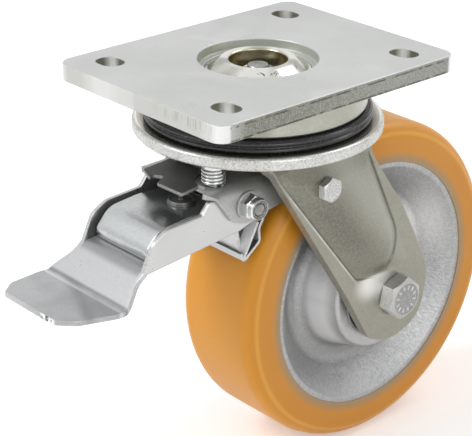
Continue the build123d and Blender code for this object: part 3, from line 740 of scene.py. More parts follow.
def zinc(name, bright, dull, rough, metal, grain=0.06, grain_scale=900, patch_scale=35, patch=0.5,
         speck=0.25, cut=None, cut_share=0.8, cut_scale=1100, streak=None, shade=None):
    """Zinc-plated steel: two tones in soft patches, fine grain, dark specks and uneven gloss. Cut sides
    take their own tone and a rougher grain. Shade(f, tone) works further on the tone."""
    f = Finish(name)
    cloud = f.noise(patch_scale, 3, 0.5).rise(0.3, 0.72)
    fine = f.noise(grain_scale, 3, 0.6)
    tone = f.mix(cloud * patch + fine.rise(0.25, 0.75) * (1 - patch), bright, dull)
    speckle = f.noise(grain_scale * 0.45, 2, 0.7).rise(0.62, 0.74) * speck
    tone = f.mix(speckle, tone, darker(dull, 0.4))
    gloss = cloud * 0.1 + fine * 0.12 + (rough - 0.1)
    height = fine
    if streak:
        height = height + f.noise(1, 3, 0.6, f.scaled(streak)) * 1.4
    if cut:
        coarse = f.noise(cut_scale, 3, 0.7)
        edge = f.edge().rise(0.15, 0.9)
        cut_tone = f.mix(coarse.rise(0.34, 0.66), darker(cut, 0.7), cut)
        tone = f.mix(edge * cut_share, tone, cut_tone)
        height = height + coarse * edge * 1.5
    if shade:
        tone = shade(f, tone)
    return f.wear(Base_Color=tone, Roughness=gloss, Metallic=metal, Normal=f.bump(height, grain))


def plate_shade(f, tone):
    """The sheared ends are speckled and carry painted shade, with a burr line near each face, and the corners
    carry a painted highlight. The other two sides carry painted light and fine scores. Each slot's wall is
    painted dark as shade on two opposite sides and bright as a highlight on the other two. Broad clouds and
    scuffs lie on the faces, with painted shade towards the back, and the recess's wall is darker with painted
    shade."""
    x, y, z = f.axes()
    half_x = plate_width / 2
    half_y = plate_length / 2
    side = f.edge().rise(0.5, 0.95) * z.fall(-0.6, -0.2)
    # Painted shade: both sheared ends are made darker, as sides turned from the light, fading out towards the
    # front.
    sheared = x.size().rise(half_x - 1.2, half_x) * side
    grit = f.noise(1500, 3, 0.7).rise(0.40, 0.62)
    fading = (1 - y.rise(-50, 45) * 0.25) * y.rise(-67, -54)
    tone = f.mix(sheared * fading * (0.55 + grit * 0.4), tone, (0.16, 0.16, 0.115))
    upper_burr = z.band(-1.9, -1.2, 0.2)
    lower_burr = z.band(0.3 - plate_thickness, 1.1 - plate_thickness, 0.3)
    burr = upper_burr.most(lower_burr) * f.noise(200, 3, 0.6).rise(0.40, 0.52)
    tone = f.mix(sheared * burr * 0.8, tone, (0.04, 0.04, 0.03))
    # Painted highlight on the rounded corners.
    corner_line = half_x + half_y - 6.4
    corner = (x.size() + y.size()).rise(corner_line, corner_line + 1.2) * side
    tone = f.mix(corner * 0.9, tone, (0.95, 0.95, 0.94))
    # Painted shade and painted highlight on the slots' walls: dark on two opposite sides, bright on the other
    # two.
    slot = x.size().fall(47, 48) * side
    across = x - f.maths("SIGN", x) * (slot_spacing_x / 2)
    along_it = y - f.maths("SIGN", y) * (slot_spacing_y / 2)
    dark_x, dark_y = 0.74, 0.67
    from_middle = (across * across + along_it * along_it) ** 0.5
    dark_way = ((across * dark_x + along_it * dark_y) / from_middle).size()
    tone = f.mix(slot * dark_way.rise(0.30, 0.62) * 0.85, tone, (0.16, 0.155, 0.10))
    tone = f.mix(slot * dark_way.fall(0.10, 0.34) * 0.8, tone, (0.92, 0.92, 0.90))
    # Painted light: the long sides are made paler, as sides turned to the light. Fine scores follow.
    smooth = y.size().rise(half_y - 1.2, half_y) * side
    tone = f.mix(smooth * 0.75, tone, (0.70, 0.70, 0.68))
    scores = f.noise(1, 2, 0.5, f.scaled((1500, 8, 90))).rise(0.5, 0.62) * x.rise(4, 34) * z.rise(-6.2, -3.6)
    tone = f.mix(smooth * scores * 0.45, tone, (0.26, 0.26, 0.23))
    scuff = f.noise(42, 4, 0.6).rise(0.56, 0.75) * f.noise(260, 3, 0.6).rise(0.35, 0.6)
    tone = f.mix(scuff * 0.36, tone, (0.40, 0.42, 0.405))
    cloud = f.noise(26, 3, 0.5, distortion=0.6).rise(0.50, 0.68)
    tone = f.mix(cloud * 0.3 * (1 - side), tone, (0.72, 0.72, 0.71))
    # Painted shade: the faces darken towards the back.
    far = (y - x).rise(30, 120)
    tone = f.mix(far * 0.22 * (1 - side), tone, (0.40, 0.41, 0.40))
    # Painted shade on the recess's wall, darkest on its left.
    wall = f.reach("Z").band(recess_radius - 0.4, recess_radius + 0.2, 0.4) * z.fall(-0.9, -0.4)
    left = (x + y).fall(-32, -4)
    return f.mix(wall * (0.55 + left * 0.35), tone, (0.26, 0.28, 0.19))


def race_shade(f, tone):
    """The turned side carries one soft upright band of light and one of shade."""
    turn = f.turn("Z")
    tone = f.mix(turn.band(-1.32, -0.86, 0.09) * 0.8, tone, (0.90, 0.90, 0.86))
    return f.mix(turn.band(-0.86, -0.62, 0.08) * 0.5, tone, (0.22, 0.22, 0.17))


def fork_shade(f, tone):
    """Legs: painted shade over the front of the swell, grainy and darkest in a patch there, painted light
    over its back, paler on the flange round it, a painted highlight and a painted shadow line along the front
    crease, a painted highlight above the axle bolt and a painted shadow round that bolt."""
    x, y, z = f.axes()
    leg = x.size().rise(fork_outer - 1.5, fork_outer - 0.5)
    front = behind_line(y, z, panel_corners[0], panel_corners[1])
    rear = behind_line(y, z, panel_corners[4], panel_corners[3])
    swell = front.rise(-0.4, 0.6) * rear.fall(-0.8, 1.0)
    low = z.rise(panel_low - 1.5, panel_low + 3.1)
    grain = f.noise(900, 3, 0.65).rise(0.35, 0.65)
    # Painted shade over the front of the swell, broken up by grain; a darker patch of it follows.
    shaded_front = swell * low * front.fall(12, 28)
    tone = f.mix(leg * shaded_front * (0.25 + grain * 0.4), tone, (0.165, 0.16, 0.125))
    patch = swell * front.band(4, 15, 4) * z.band(-88, -56, 7)
    tone = f.mix(leg * patch * (0.25 + grain * 0.25), tone, (0.10, 0.098, 0.075))
    # Painted light over the back of the swell.
    painted_light_band = swell * low * front.band(23, 36, 6)
    tone = f.mix(leg * painted_light_band * 0.5, tone, (0.43, 0.43, 0.385))
    tone = f.mix(leg * (1 - swell * low) * 0.45, tone, (0.40, 0.39, 0.325))
    # Painted highlight on the flange side of the front crease and a painted shadow line on the panel side,
    # both in patches.
    patchy = 0.55 + f.noise(220, 3, 0.6).rise(0.35, 0.6) * 0.45
    painted_crease_lines = leg * z.band(panel_low + 1.6, panel_top - 10.5, 4) * patchy
    tone = f.mix(painted_crease_lines * front.band(-1.0, -0.3, 0.3) * 0.75, tone, (0.72, 0.72, 0.66))
    tone = f.mix(painted_crease_lines * front.band(0.0, 0.5, 0.3) * 0.8, tone, (0.05, 0.05, 0.04))
    # Painted highlight on the leg above the axle bolt, kept off the swell.
    over = (y - bolt_highlight_y) * 0.75
    under = z - bolt_highlight_z
    bolt_highlight = ((over * over + under * under) ** 0.5).fall(3, 12)
    off_swell = 1 - swell * z.rise(panel_low - 1.7, panel_low - 0.1)
    tone = f.mix(leg * off_swell * bolt_highlight * 0.9, tone, (0.92, 0.92, 0.88))
    # Painted shadow round the axle bolt's head.
    half_flats = axle_flats / 2
    seat = f.reach("X", wheel_middle).band(half_flats - 0.45, half_flats + 1.15, 0.5)
    return f.mix(leg * seat * 0.5, tone, (0.09, 0.09, 0.075))


def pedal_shade(f, tone):
    """Paler walls, with painted shade on their inner faces behind the bend and in a band on the floor just in
    front of the lever's nose. The foot plate is darker in patches with a slanting streak, has a painted shade
    line in the crease above it and a painted highlight just past it, and painted highlights and painted shade
    specks at one corner of its tip."""
    x, y, z = f.axes()
    wall = x.size().rise(pedal_outer - 0.85, pedal_outer - 0.15) * z.rise(-74, -70)
    tone = f.mix(wall * 0.6, tone, (0.72, 0.72, 0.71))
    foot = y.fall(pedal_foot_y - 0.8, pedal_foot_y + 2.2)
    patchy = f.noise(60, 3, 0.55).rise(0.42, 0.64)
    tone = f.mix(foot * (0.15 + patchy * 0.4), tone, (0.34, 0.35, 0.36))
    slant = math.radians(64)
    streak = (x * math.cos(slant) + y * math.sin(slant)).band(-95, -90, 2.5)
    tone = f.mix(foot * streak * 0.45, tone, (0.20, 0.21, 0.23))
    # Painted shade in the crease and a painted highlight just past it.
    crease = y.band(pedal_foot_y - 0.3, pedal_foot_y + 1.0, 0.5)
    tone = f.mix(crease * 0.55, tone, (0.14, 0.145, 0.15))
    crease_highlight = y.band(pedal_foot_y - 3.3, pedal_foot_y - 1.4, 0.6)
    tone = f.mix(crease_highlight * 0.5, tone, (0.86, 0.86, 0.86))
    wall_inside = pedal_outer - pedal_sheet
    floor = x.size().fall(wall_inside - 0.25, wall_inside + 0.45)
    # Painted shade in a band on the floor just in front of the lever's nose.
    bend = y.band(-86.2, -80.0, 1.4) * floor
    tone = f.mix(bend * 0.6, tone, (0.20, 0.215, 0.225))
    # Painted shade on the walls' inner faces behind the bend.
    inner = floor * x.size().rise(wall_inside - 0.65, wall_inside - 0.35) * y.rise(-83.0, -81.5)
    tone = f.mix(inner * 0.85, tone, (0.045, 0.045, 0.045))
    # Painted highlights and painted shade specks at one corner of the tip.
    tip = y.fall(pedal_tip_y, pedal_tip_y + 0.8) * x.rise(6, 11)
    tip_light_and_shade = f.noise(420, 2, 0.6)
    tone = f.mix(tip * tip_light_and_shade.rise(0.48, 0.56), tone, (0.95, 0.95, 0.95))
    return f.mix(tip * tip_light_and_shade.fall(0.38, 0.44), tone, (0.08, 0.08, 0.08))


def shoe_shade(f, tone):
    """The hook's inner faces, those facing +Y or up, are painted dark as shade."""
    inner = f.facing(1).rise(0.1, 0.4).most(f.facing(2).rise(0.1, 0.4))
    off_sides = f.axis(0).size().fall(shoe_half - 0.7, shoe_half - 0.2)
    return f.mix(inner * off_sides * 0.85, tone, (0.06, 0.06, 0.058))


def head_finish(name, y, z, flats, face_x, face_tone, shaded_side):
    """Bolt: a bright shank and sides, one side carrying a painted dark reflection, and a dull face with paler
    dashes stamped round it. The last argument is the angle at which that side's middle stands."""
    f = Finish(name)
    reach = f.reach("X", (0, y, z))
    turn = f.turn("X", (0, y, z))
    depth = face_x - f.axis(0).size()
    face_radius = head_face_share * flats / 2
    cone = (reach - depth * math.sqrt(3)).rise(face_radius - 0.3, face_radius - 0.1)
    face = depth.fall(0.5, 0.7).most(cone)
    fine = f.noise(1400, 3, 0.65)
    sides = f.mix(fine.rise(0.3, 0.7), (0.90, 0.90, 0.89), (0.66, 0.66, 0.65))
    # Painted dark reflection on one flat of the head.
    dull = (turn - shaded_side).size().fall(0.50, 0.53)
    sides = f.mix(dull * 0.8, sides, (0.20, 0.20, 0.18))
    front = f.mix(fine.rise(0.38, 0.62), face_tone, darker(face_tone, 0.65))
    part = f.maths("FRACT", turn * (dash_count / (2 * math.pi)) + dash_count)
    ring = (reach - dash_ring * face_radius).size()
    dash = (part - 0.5).size().fall(0.10, 0.18) * ring.fall(0.10 * face_radius, 0.16 * face_radius)
    front = f.mix(dash * (0.3 + fine * 0.5), front, (0.80, 0.80, 0.79))
    front = f.mix(cone * 0.5, front, (0.62, 0.62, 0.61))
    tone = f.mix(face, sides, front)
    gloss = 0.24 + fine * 0.12 + face * 0.08
    return f.wear(Base_Color=tone, Roughness=gloss, Metallic=0.2 + face * 0.6, Normal=f.bump(fine, 0.03))


def crown_finish():
    """Crown: a smooth flat that mirrors the seal, with the seal's dark reflection also painted next to it and
    a painted highlight along its outer edge, and a rim with the shear's coarse grain and painted shade along
    its lower edge where it meets the fork.
    """
    f = Finish("crown_zinc")
    z = f.axis(2)
    reach = f.reach("Z")
    flat = z.rise(crown_top - 1.2, crown_top - 0.2) * reach.fall(crown_radius - 1.7, crown_radius - 0.3)
    grain = f.noise(1150, 4, 0.65)
    cloud = f.noise(45, 3, 0.5).rise(0.35, 0.7)
    rim_tone = f.mix(grain.rise(0.40, 0.66) * 0.6 + cloud * 0.25, (0.76, 0.76, 0.74), (0.34, 0.34, 0.31))
    # Painted shade along the rim's lower edge, where it meets the fork.
    junction_shade = z.band(crown_bottom - 0.8, crown_bottom + 0.2, 0.2) * f.noise(300, 3, 0.6).rise(0.4, 0.55)
    rim_tone = f.mix(junction_shade * 0.6, rim_tone, (0.12, 0.12, 0.10))
    # Painted dark reflection of the seal next to it, and a painted highlight along the flat's outer edge.
    flat_tone = f.mix(reach.rise(seal_outer, seal_outer + 2), (0.26, 0.25, 0.20), (0.50, 0.49, 0.42))
    flat_tone = f.mix(reach.rise(crown_radius - 2.4, crown_radius - 1.7), flat_tone, (0.85, 0.85, 0.83))
    tone = f.mix(flat, rim_tone, flat_tone)
    normal = f.bump(grain * (1 - flat * 0.9), 0.12)
    return f.wear(Base_Color=tone, Roughness=0.34 - flat * 0.16, Metallic=0.6 + flat * 0.35, Normal=normal)


def turned_zinc():
    """Bright turned metal: rings from the tool, painted light and dark reflections in fans round the swivel
    axis, dark smears on the slope outside the rim, and a yellower tone down in the bore."""
    f = Finish("kingpin_zinc")
    reach = f.reach("Z")
    turn = f.turn("Z")
    ring_scale = 2.5
    rings = f.noise(1, 2, 0.6, f.joined(reach * ring_scale, f.axis(2) * ring_scale))
    # Painted light and dark reflections in fans round the swivel axis.
    painted_reflections = f.maths("SINE", turn * 3 + 0.9) * 0.5 + f.maths("SINE", turn * 7 + reach * 0.24) * 0.3
    tone = f.mix((painted_reflections + 0.3).rise(0, 1) * 0.75, (0.72, 0.72, 0.68), (0.26, 0.26, 0.22))
    slope = reach.rise(kingpin_rim_radius + 0.4, kingpin_rim_radius + 1.6)
    smear = f.noise(240, 4, 0.6, distortion=1.2).rise(0.60, 0.66) * slope
    tone = f.mix(smear * 0.85, tone, (0.05, 0.05, 0.045))
    bore = reach.fall(kingpin_bore_radius - 0.3, kingpin_bore_radius + 1.1)
    tone = f.mix(bore * 0.92, tone, (0.40, 0.35, 0.20))
    tone = f.mix(f.noise(700, 3, 0.6).rise(0.58, 0.72) * 0.3, tone, (0.25, 0.25, 0.22))
    gloss = 0.14 + f.noise(90, 3, 0.5) * 0.16
    return f.wear(Base_Color=tone, Roughness=gloss, Metallic=0.95, Normal=f.bump(rings, 0.03))


def cast_finish():
    """Sand-cast metal painted silver: fine grains drawn out along the radius over soft lumps. The boss is
    paler with a painted highlight crescent, and the dish has painted shade in its hollow, a painted highlight
    on one side and a painted shadow on its lower part."""
    f = Finish("cast_silver")
    reach = f.reach("X", wheel_middle)
    turn = f.turn("X", wheel_middle)
    x = f.axis(0)
    drawn = f.noise(1, 3, 0.6, f.joined(reach * 0.42, turn * 52, x * 0.6), distortion=0.8)
    fine = f.noise(1300, 3, 0.7)
    mottle = drawn.rise(0.36, 0.64) * 0.45 + fine.rise(0.32, 0.68) * 0.4
    tone = f.mix(mottle, (0.34, 0.342, 0.345), (0.54, 0.542, 0.545))
    boss = reach.fall(hub_boss_foot - 1.1, hub_boss_foot + 0.9)
    tone = f.mix(boss * 0.35, tone, (0.62, 0.62, 0.62))
    # Painted highlight: a bright crescent on the boss's side.
    boss_highlight_turn = 2.75
    boss_highlight = (turn.size() - boss_highlight_turn).size().fall(0.25, 0.85) * x.band(13.0, 25.5, 3.5) * boss
    tone = f.mix(boss_highlight * 0.9, tone, (0.97, 0.97, 0.97))
    # Painted shade in the dish's hollow.
    tone = f.mix(reach.band(37, 46, 3) * 0.4, tone, (0.22, 0.22, 0.22))
    # Painted highlight on one side of the dish.
    dish_highlight = turn.band(0.10, 0.70, 0.30) * reach.band(40, 54.5, 5)
    tone = f.mix(dish_highlight * 0.6, tone, (0.88, 0.88, 0.88))
    # Painted shadow on the lower part of the dish.
    below = turn.band(-1.45, -0.55, 0.35) * reach.fall(40, 54)
    tone = f.mix(below * 0.5, tone, (0.18, 0.18, 0.18))
    lumps = f.bump(f.noise(180, 4, 0.6), 0.3)
    normal = f.bump(drawn + fine * 0.4, 0.3, lumps)
    gloss = 0.28 + fine * 0.14
    return f.wear(Base_Color=tone, Roughness=gloss, Metallic=0.75 - boss_highlight * 0.5, Normal=normal)


def tread_finish():
    """Cast polyurethane: amber, greyer where it thins out over the hub's rim, deepened by painted shade round
    the side's edge, with a painted highlight line along the shoulder."""
    f = Finish("tread_amber")
    reach = f.reach("X", wheel_middle)
    out = f.axis(0).size()
    side = wheel_width / 2
    cloud = f.noise(24, 3, 0.5)
    body = f.mix(cloud, (0.84, 0.375, 0.024), (0.74, 0.285, 0.014))
    # Painted shade: the sides are deepened, as faces turned from the light.
    body = f.mix(out.rise(side - 4.5, side - 0.5) * 0.5, body, (0.60, 0.235, 0.018))
    thin = reach.fall(hub_rim_radius - 0.2, hub_rim_radius + 6.2) * (0.75 + f.noise(300, 3, 0.6) * 0.4)
    tone = f.mix(thin.least(0.8), body, (0.36, 0.28, 0.17))
    # Painted highlight line along the shoulder.
    shoulder_highlight = reach.band(wheel_radius - 5.6, wheel_radius - 4.2, 1.0) * out.rise(side - 2.2, side - 1.4)
    tone = f.mix(shoulder_highlight * 0.45, tone, (0.97, 0.54, 0.10))
    normal = f.bump(f.noise(1200, 2, 0.6) + f.noise(160, 2, 0.5) * 2, 0.02)
    f.shader.inputs["Subsurface Weight"].default_value = 0.2
    f.shader.inputs["Subsurface Radius"].default_value = (1.0, 0.4, 0.1)
    f.shader.inputs["Subsurface Scale"].default_value = 4 / metre
    return f.wear(Base_Color=tone, Roughness=0.38 + cloud * 0.08, Normal=normal)


def rubber_finish():
    """Black seal rubber: smooth and glossy, with faint dust."""
    f = Finish("seal_black")
    dust = f.noise(700, 3, 0.6).rise(0.5, 0.8)
    tone = f.mix(dust * 0.3, (0.032, 0.032, 0.034), (0.13, 0.13, 0.125))
    return f.wear(Base_Color=tone, Roughness=0.22 + dust * 0.12)


def nylon_finish():
    """Milky nut ring, scuffed by the thread."""
    f = Finish("ring_nylon")
    scuff = f.noise(1500, 3, 0.7).rise(0.4, 0.62)
    tone = f.mix(scuff, (0.36, 0.36, 0.36), (0.09, 0.09, 0.095))
    return f.wear(Base_Color=tone, Roughness=0.42 + scuff * 0.15)


plate_zinc = zinc("plate_zinc", (0.60, 0.61, 0.60), (0.515, 0.525, 0.515), rough=0.38, metal=0.35,
                  patch_scale=16, patch=0.75, speck=0.1, cut=(0.64, 0.64, 0.61), cut_share=0.6,
                  cut_scale=1600, shade=plate_shade)
race_zinc = zinc("race_zinc", (0.50, 0.50, 0.44), (0.38, 0.38, 0.32), rough=0.3, metal=0.8,
                 grain=0.02, patch_scale=30, speck=0.1, shade=race_shade)
fork_zinc = zinc("fork_zinc", (0.34, 0.335, 0.275), (0.235, 0.23, 0.185), rough=0.34, metal=0.45,
                 grain=0.12, grain_scale=850, patch_scale=45, patch=0.35, speck=0.35,
                 cut=(0.42, 0.41, 0.34), cut_scale=800, shade=fork_shade)
saddle_zinc = zinc("saddle_zinc", (0.49, 0.495, 0.48), (0.40, 0.405, 0.39), rough=0.32, metal=0.5,
                   grain=0.04, cut=(0.60, 0.60, 0.585), cut_share=0.7)
pedal_zinc = zinc("pedal_zinc", (0.56, 0.565, 0.57), (0.45, 0.46, 0.465), rough=0.32, metal=0.6,
                  grain=0.03, patch_scale=42, patch=0.6, speck=0.15, cut=(0.66, 0.66, 0.655),
                  shade=pedal_shade)
lever_zinc = zinc("lever_zinc", (0.58, 0.60, 0.60), (0.44, 0.46, 0.46), rough=0.2, metal=0.95,
                  grain=0.03, grain_scale=700, patch_scale=60, speck=0.12, cut=(0.66, 0.66, 0.65),
                  streak=(40, 700, 700))
shoe_zinc = zinc("shoe_zinc", (0.62, 0.625, 0.63), (0.52, 0.53, 0.53), rough=0.3, metal=0.6,
                 grain=0.03, patch_scale=42, cut=(0.74, 0.74, 0.73), shade=shoe_shade)
# Painted light: a near-white, nearly plain copy of the shoe's zinc for the lit V plate.
shoe_lit_zinc = zinc("shoe_lit_zinc", (0.97, 0.975, 0.98), (0.90, 0.905, 0.91), rough=0.34, metal=0.05,
                   grain=0.03, patch_scale=42, speck=0.1, cut=(0.9, 0.9, 0.89))
lock_steel = zinc("lock_steel", (0.13, 0.13, 0.127), (0.09, 0.09, 0.088), rough=0.36, metal=0.6,
                  grain=0.04, grain_scale=800, patch_scale=60, speck=0.2, cut=(0.36, 0.36, 0.35),
                  cut_share=0.75)
# Painted shade: the push pin's steel is dark, as it sits in shadow under the lock plate.
shaded_pin_steel = zinc("shaded_pin_steel", (0.20, 0.20, 0.195), (0.13, 0.13, 0.125), rough=0.36, metal=0.7,
                 grain=0.03, patch_scale=120, speck=0.2)
bolt_zinc = zinc("bolt_zinc", (0.80, 0.81, 0.80), (0.56, 0.57, 0.56), rough=0.2, metal=0.95,
                 grain=0.03, grain_scale=1500, patch_scale=160, patch=0.3, speck=0.15)
nut_zinc = zinc("nut_zinc", (0.36, 0.36, 0.34), (0.16, 0.16, 0.15), rough=0.3, metal=0.7,
                grain=0.04, grain_scale=1200, patch_scale=200)
bearing_steel = zinc("bearing_steel", (0.55, 0.55, 0.55), (0.42, 0.42, 0.42), rough=0.22, metal=0.9)
crown_zinc = crown_finish()
kingpin_zinc = turned_zinc()
cast_silver = cast_finish()
tread_amber = tread_finish()
seal_black = rubber_finish()
ring_nylon = nylon_finish()
axle_zinc = head_finish("axle_zinc", wheel_y, wheel_z, axle_flats, fork_outer + axle_head_height,
                        (0.40, 0.40, 0.395), axle_head_turn + math.radians(120))
cross_zinc = head_finish("cross_zinc", cross_y, cross_z, small_flats, cross_seat + small_head_height,
                         (0.66, 0.66, 0.65), math.radians(120))


# ---- swivel head ----

def block(x, y, half_x, half_y, corner):
    """Rounded rectangle about a middle."""
    signs = [(1, 1), (-1, 1), (-1, -1), (1, -1)]
    return rounded([(x + a * half_x, y + b * half_y, corner) for a, b in signs], fine=12)


def top_plate():
    """Plate with softened sheared edges, four slots and a round recess that steps down to a seat."""
    outer = closer(block(0, 0, plate_width / 2, plate_length / 2, plate_corner), 6)
    slots = []
    for x in (-slot_spacing_x / 2, slot_spacing_x / 2):
        for y in (-slot_spacing_y / 2, slot_spacing_y / 2):
            slots.append(block(x, y, slot_length / 2, slot_width / 2, slot_width / 2))
    edge_gap = 0.7
    seat_gap = 0.2
    low = -plate_thickness
    high = 0.0
    loops = [oriented(outer, True)] + [oriented(slot, False) for slot in slots]
    softs = [(0.5, plate_edge_break)] + [(0.25, 0.45)] * len(slots)
    parts = [rim(loop, low, high, *soft, upright, 6) for loop, soft in zip(loops, softs)]
    for level, which, bore in ((high, 1, recess_radius + edge_gap), (low, 0, seat_radius + seat_gap)):
        edges = [loop - away(loop) * soft[which] for loop, soft in zip(loops, softs)]
        flat, triangles = fill(edges + [oriented(circle(0, 0, bore, 128), False)])
        parts.append((upright(flat[:, 0], flat[:, 1], np.full(len(flat), level)), triangles))
    step = rounded([
        (recess_radius + edge_gap, high, 0),
        (recess_radius, high, 0.6),
        (recess_radius, -recess_depth, 0.8),
        (seat_radius, -recess_depth, 0.3),
        (seat_radius, low, 0.15),
        (seat_radius + seat_gap, low, 0),
    ], closed=False)
    parts.append(lathe(step[:, 0], step[:, 1], "Z", (0, 0, 0), 128, wrap=False))
    return parts


def swivel_head():
    piece("top_plate", top_plate(), plate_zinc)
    race_bore = kingpin_collar_radius + 0.01
    piece("upper_race", turned([
        (race_bore, -plate_thickness, 0),
        (race_radius, -plate_thickness, 0.3),
        (race_radius, race_bottom, 1.2),
        (nose_radius, race_bottom, 0),
        (nose_radius, nose_bottom, 0.4),
        (race_bore, nose_bottom, 0),
    ], 256), race_zinc)
    seat = seat_radius - hole_gap
    stud_bore = stud_radius + hole_gap
    piece("kingpin", turned([
        (kingpin_bore_radius, kingpin_top, 0.9),
        (kingpin_rim_radius, kingpin_top, 1.2),
        (kingpin_base_radius - 1.6, -3.3, 2.5),
        (kingpin_base_radius, -recess_depth, 0.3),
        (seat, -recess_depth, 0.2),
        (seat, -plate_thickness, 0),
        (kingpin_collar_radius, -plate_thickness, 0),
        (kingpin_collar_radius, nose_bottom, 0),
        (kingpin_shank_radius, nose_bottom, 0),
        (kingpin_shank_radius, cup_top, 0),
        (stud_bore, cup_top, 0),
        (stud_bore, -kingpin_bore_depth, 0),
        (kingpin_bore_radius, -kingpin_bore_depth, 0.6),
    ], 160), kingpin_zinc)
    piece("kingpin_cup", turned([
        (stud_bore, cup_top, 0),
        (cup_radius - 7.2, cup_top, 0.5),
        (cup_radius, cup_top, 0.8),
        (cup_radius, cup_bottom, 1.2),
        (stud_bore, cup_bottom, 0),
    ], 128), crown_zinc)
    stud = screw(stud_radius, cup_bottom, stud_top, "Z", (0, 0, 0), 1.5, 0.5)
    radius, rows = hex_face(stud_head_flats, stud_head_height)
    head = [lathe(radius, cup_bottom - rows, "Z", (0, 0, 0), 96, wrap=False)]
    piece("kingpin_bolt", stud + head, nut_zinc, 30)
    radius, rows = hex_face(king_nut_flats, king_nut_height, bore=stud_radius + thread_gap)
    nut = lathe(radius, rows - kingpin_bore_depth, "Z", (0, 0, 0), 96)
    piece("kingpin_nut", [nut], nut_zinc, 30)
    crown_bore = kingpin_shank_radius + side_gap
    piece("crown", turned([
        (crown_bore, crown_top, 0.3),
        (crown_radius, crown_top, 1.8),
        (crown_radius, crown_bottom, 1.8),
        (crown_bore, crown_bottom, 0.3),
    ], 256), crown_zinc)
    step = (seal_top - crown_top) / 4
    piece("seal_ring", turned([
        (seal_inner, seal_top, 0.2),
        (seal_valley, seal_top, 0.6),
        (seal_outer, seal_top - step, 0.9),
        (seal_valley, seal_top - 2 * step, 0.35),
        (seal_outer, seal_top - 3 * step, 0.9),
        (seal_valley, crown_top, 0.2),
        (seal_inner, crown_top, 0.2),
    ], 256, fine=10), seal_black)


# ---- fork ----

def fork():
    """Flat blank with its holes, bent over a channel. Each leg has a panel: inside its outline the
    sheet first drops by a small step and then swells out as a quarter sine of the distance inside."""
    place = channel(fork_outer, crown_bottom, fork_sheet, fork_bend)
    leg = rounded([
        (fork_front, crown_bottom, 0),
        (fork_front, crown_bottom - 5.2, 1.5),
        (wheel_y - 31.2, wheel_z + 7.8, 60),
        (wheel_y - 15.8, wheel_z - 19.0, 9),
        (wheel_y - 3, wheel_z - 24.2, 22),
        (wheel_y + 18.7, wheel_z - 19.6, 18),
        (wheel_y + 23.4, wheel_z + 6, 26),
        (wheel_y + 13.0, wheel_z + 27.6, 120),
        (wheel_y + 3.2, wheel_z + 46, 60),
        (fork_rear + 2.6, wheel_z + 75.4, 30),
        (fork_rear, crown_bottom - 4.5, 6),
        (fork_rear, crown_bottom, 0),
    ], closed=False, fine=10)
    right = on_blank(place, leg)
    outer = np.concatenate([right, right[::-1] * mirror])
    bridge_hole = circle(0, 0, 27, 64)
    holes = [bridge_hole] + leg_holes(place, [
        (wheel_y, wheel_z, axle_radius + hole_gap, 32),
        (cross_y, cross_z, small_radius + hole_gap, 24),
    ])
    panel = oriented(on_blank(place, rounded(panel_corners)), True)
    guides = [closer(panel - away(panel) * inset, 1.5) for inset in (0, panel_foot, 1.2)]
    guides += [guide[::-1] * mirror for guide in guides]
    fade_length = 6

    def pressed(u, v, w):
        u, v, w = np.broadcast_arrays(u, v, w)
        shape = u.shape
        flat = np.stack([np.abs(u).ravel(), v.ravel()], 1)
        depth = np.where(inside(flat, [panel]), gap_to(flat, panel), 0).reshape(shape)
        swell = np.sin(np.clip((depth - panel_foot) / panel_ramp, 0, 1) * np.pi / 2)
        rise = (panel_press + panel_step) * swell - panel_step * np.clip(depth / panel_foot, 0, 1)
        fade = np.clip((np.abs(u) - place.length(panel_top)) / fade_length, 0, 1)
        return place(u, v, w + rise * fade)

    half = fork_sheet / 2
    return sheet(outer, holes, -half, half, pressed, 0.5, 0.7, 1.6, guides)


# ---- bolts across the fork ----

def marks(radius, angle, reach):
    """Plain radial dashes stamped round a bolt's face: 1 on a dash, 0 elsewhere."""
    half_length = 0.12 * reach
    half_width = 0.16
    off_middle = np.abs((angle / (2 * np.pi) * dash_count) % 1 - 0.5)
    return (off_middle < half_width) * (np.abs(radius - dash_ring * reach) < half_length)


def hex_bolt(flats, height, seat, side, y, z, turn=0.0):
    """Hexagon head along X whose face has a shallow dish and stamped dashes."""
    count = 144
    dish_rows = 3
    dash_height = 0.22
    radius, rows = hex_face(flats, height, turn=turn, count=count)
    angle = round_angles(count)
    reach = head_face_share * flats / 2
    ring = np.linspace(0, reach - 0.8, 14)[:, None] + 0 * angle
    level = height - head_dish + dash_height * marks(ring, angle, reach)
    radius = np.concatenate([ring, radius[dish_rows:]])
    rows = np.concatenate([level, rows[dish_rows:]])
    return [lathe(radius, side * (seat + rows), "X", (0, y, z), count, wrap=False)]


def lock_nut(seat, y, z, way):
    """Chamfered hexagon that runs into a round collar rolled over at its end."""
    count = 96
    full = hexagon(small_flats, round_angles(count))
    end = nut_height
    rows = [(small_radius + thread_gap, 0), (full - 0.3, 0), (full - 0.1, 0.08), (full, 0.3)]
    for depth in np.linspace(1.4, 0, 8):
        rows.append((np.minimum(full, 0.97 * small_flats / 2 + depth * 1.7), nut_hex_height - depth * 0.9))
    rows += [
        (nut_collar_radius, nut_hex_height + 0.25),
        (nut_collar_radius, end - 0.9),
        (nut_collar_radius - 0.15, end - 0.35),
        (nut_collar_radius - 0.45, end),
        (nylon_radius + 0.1, end - 0.05),
        (nylon_radius, end - 0.3),
        (nylon_radius, end - nylon_depth),
        (small_radius + thread_gap, end - nylon_depth),
    ]
    row = np.zeros((1, count))
    radius = np.concatenate([row + reach for reach, height in rows])
    height = np.concatenate([row + seat + height for reach, height in rows])
    return [lathe(radius, way * height, "X", (0, y, z), count)]


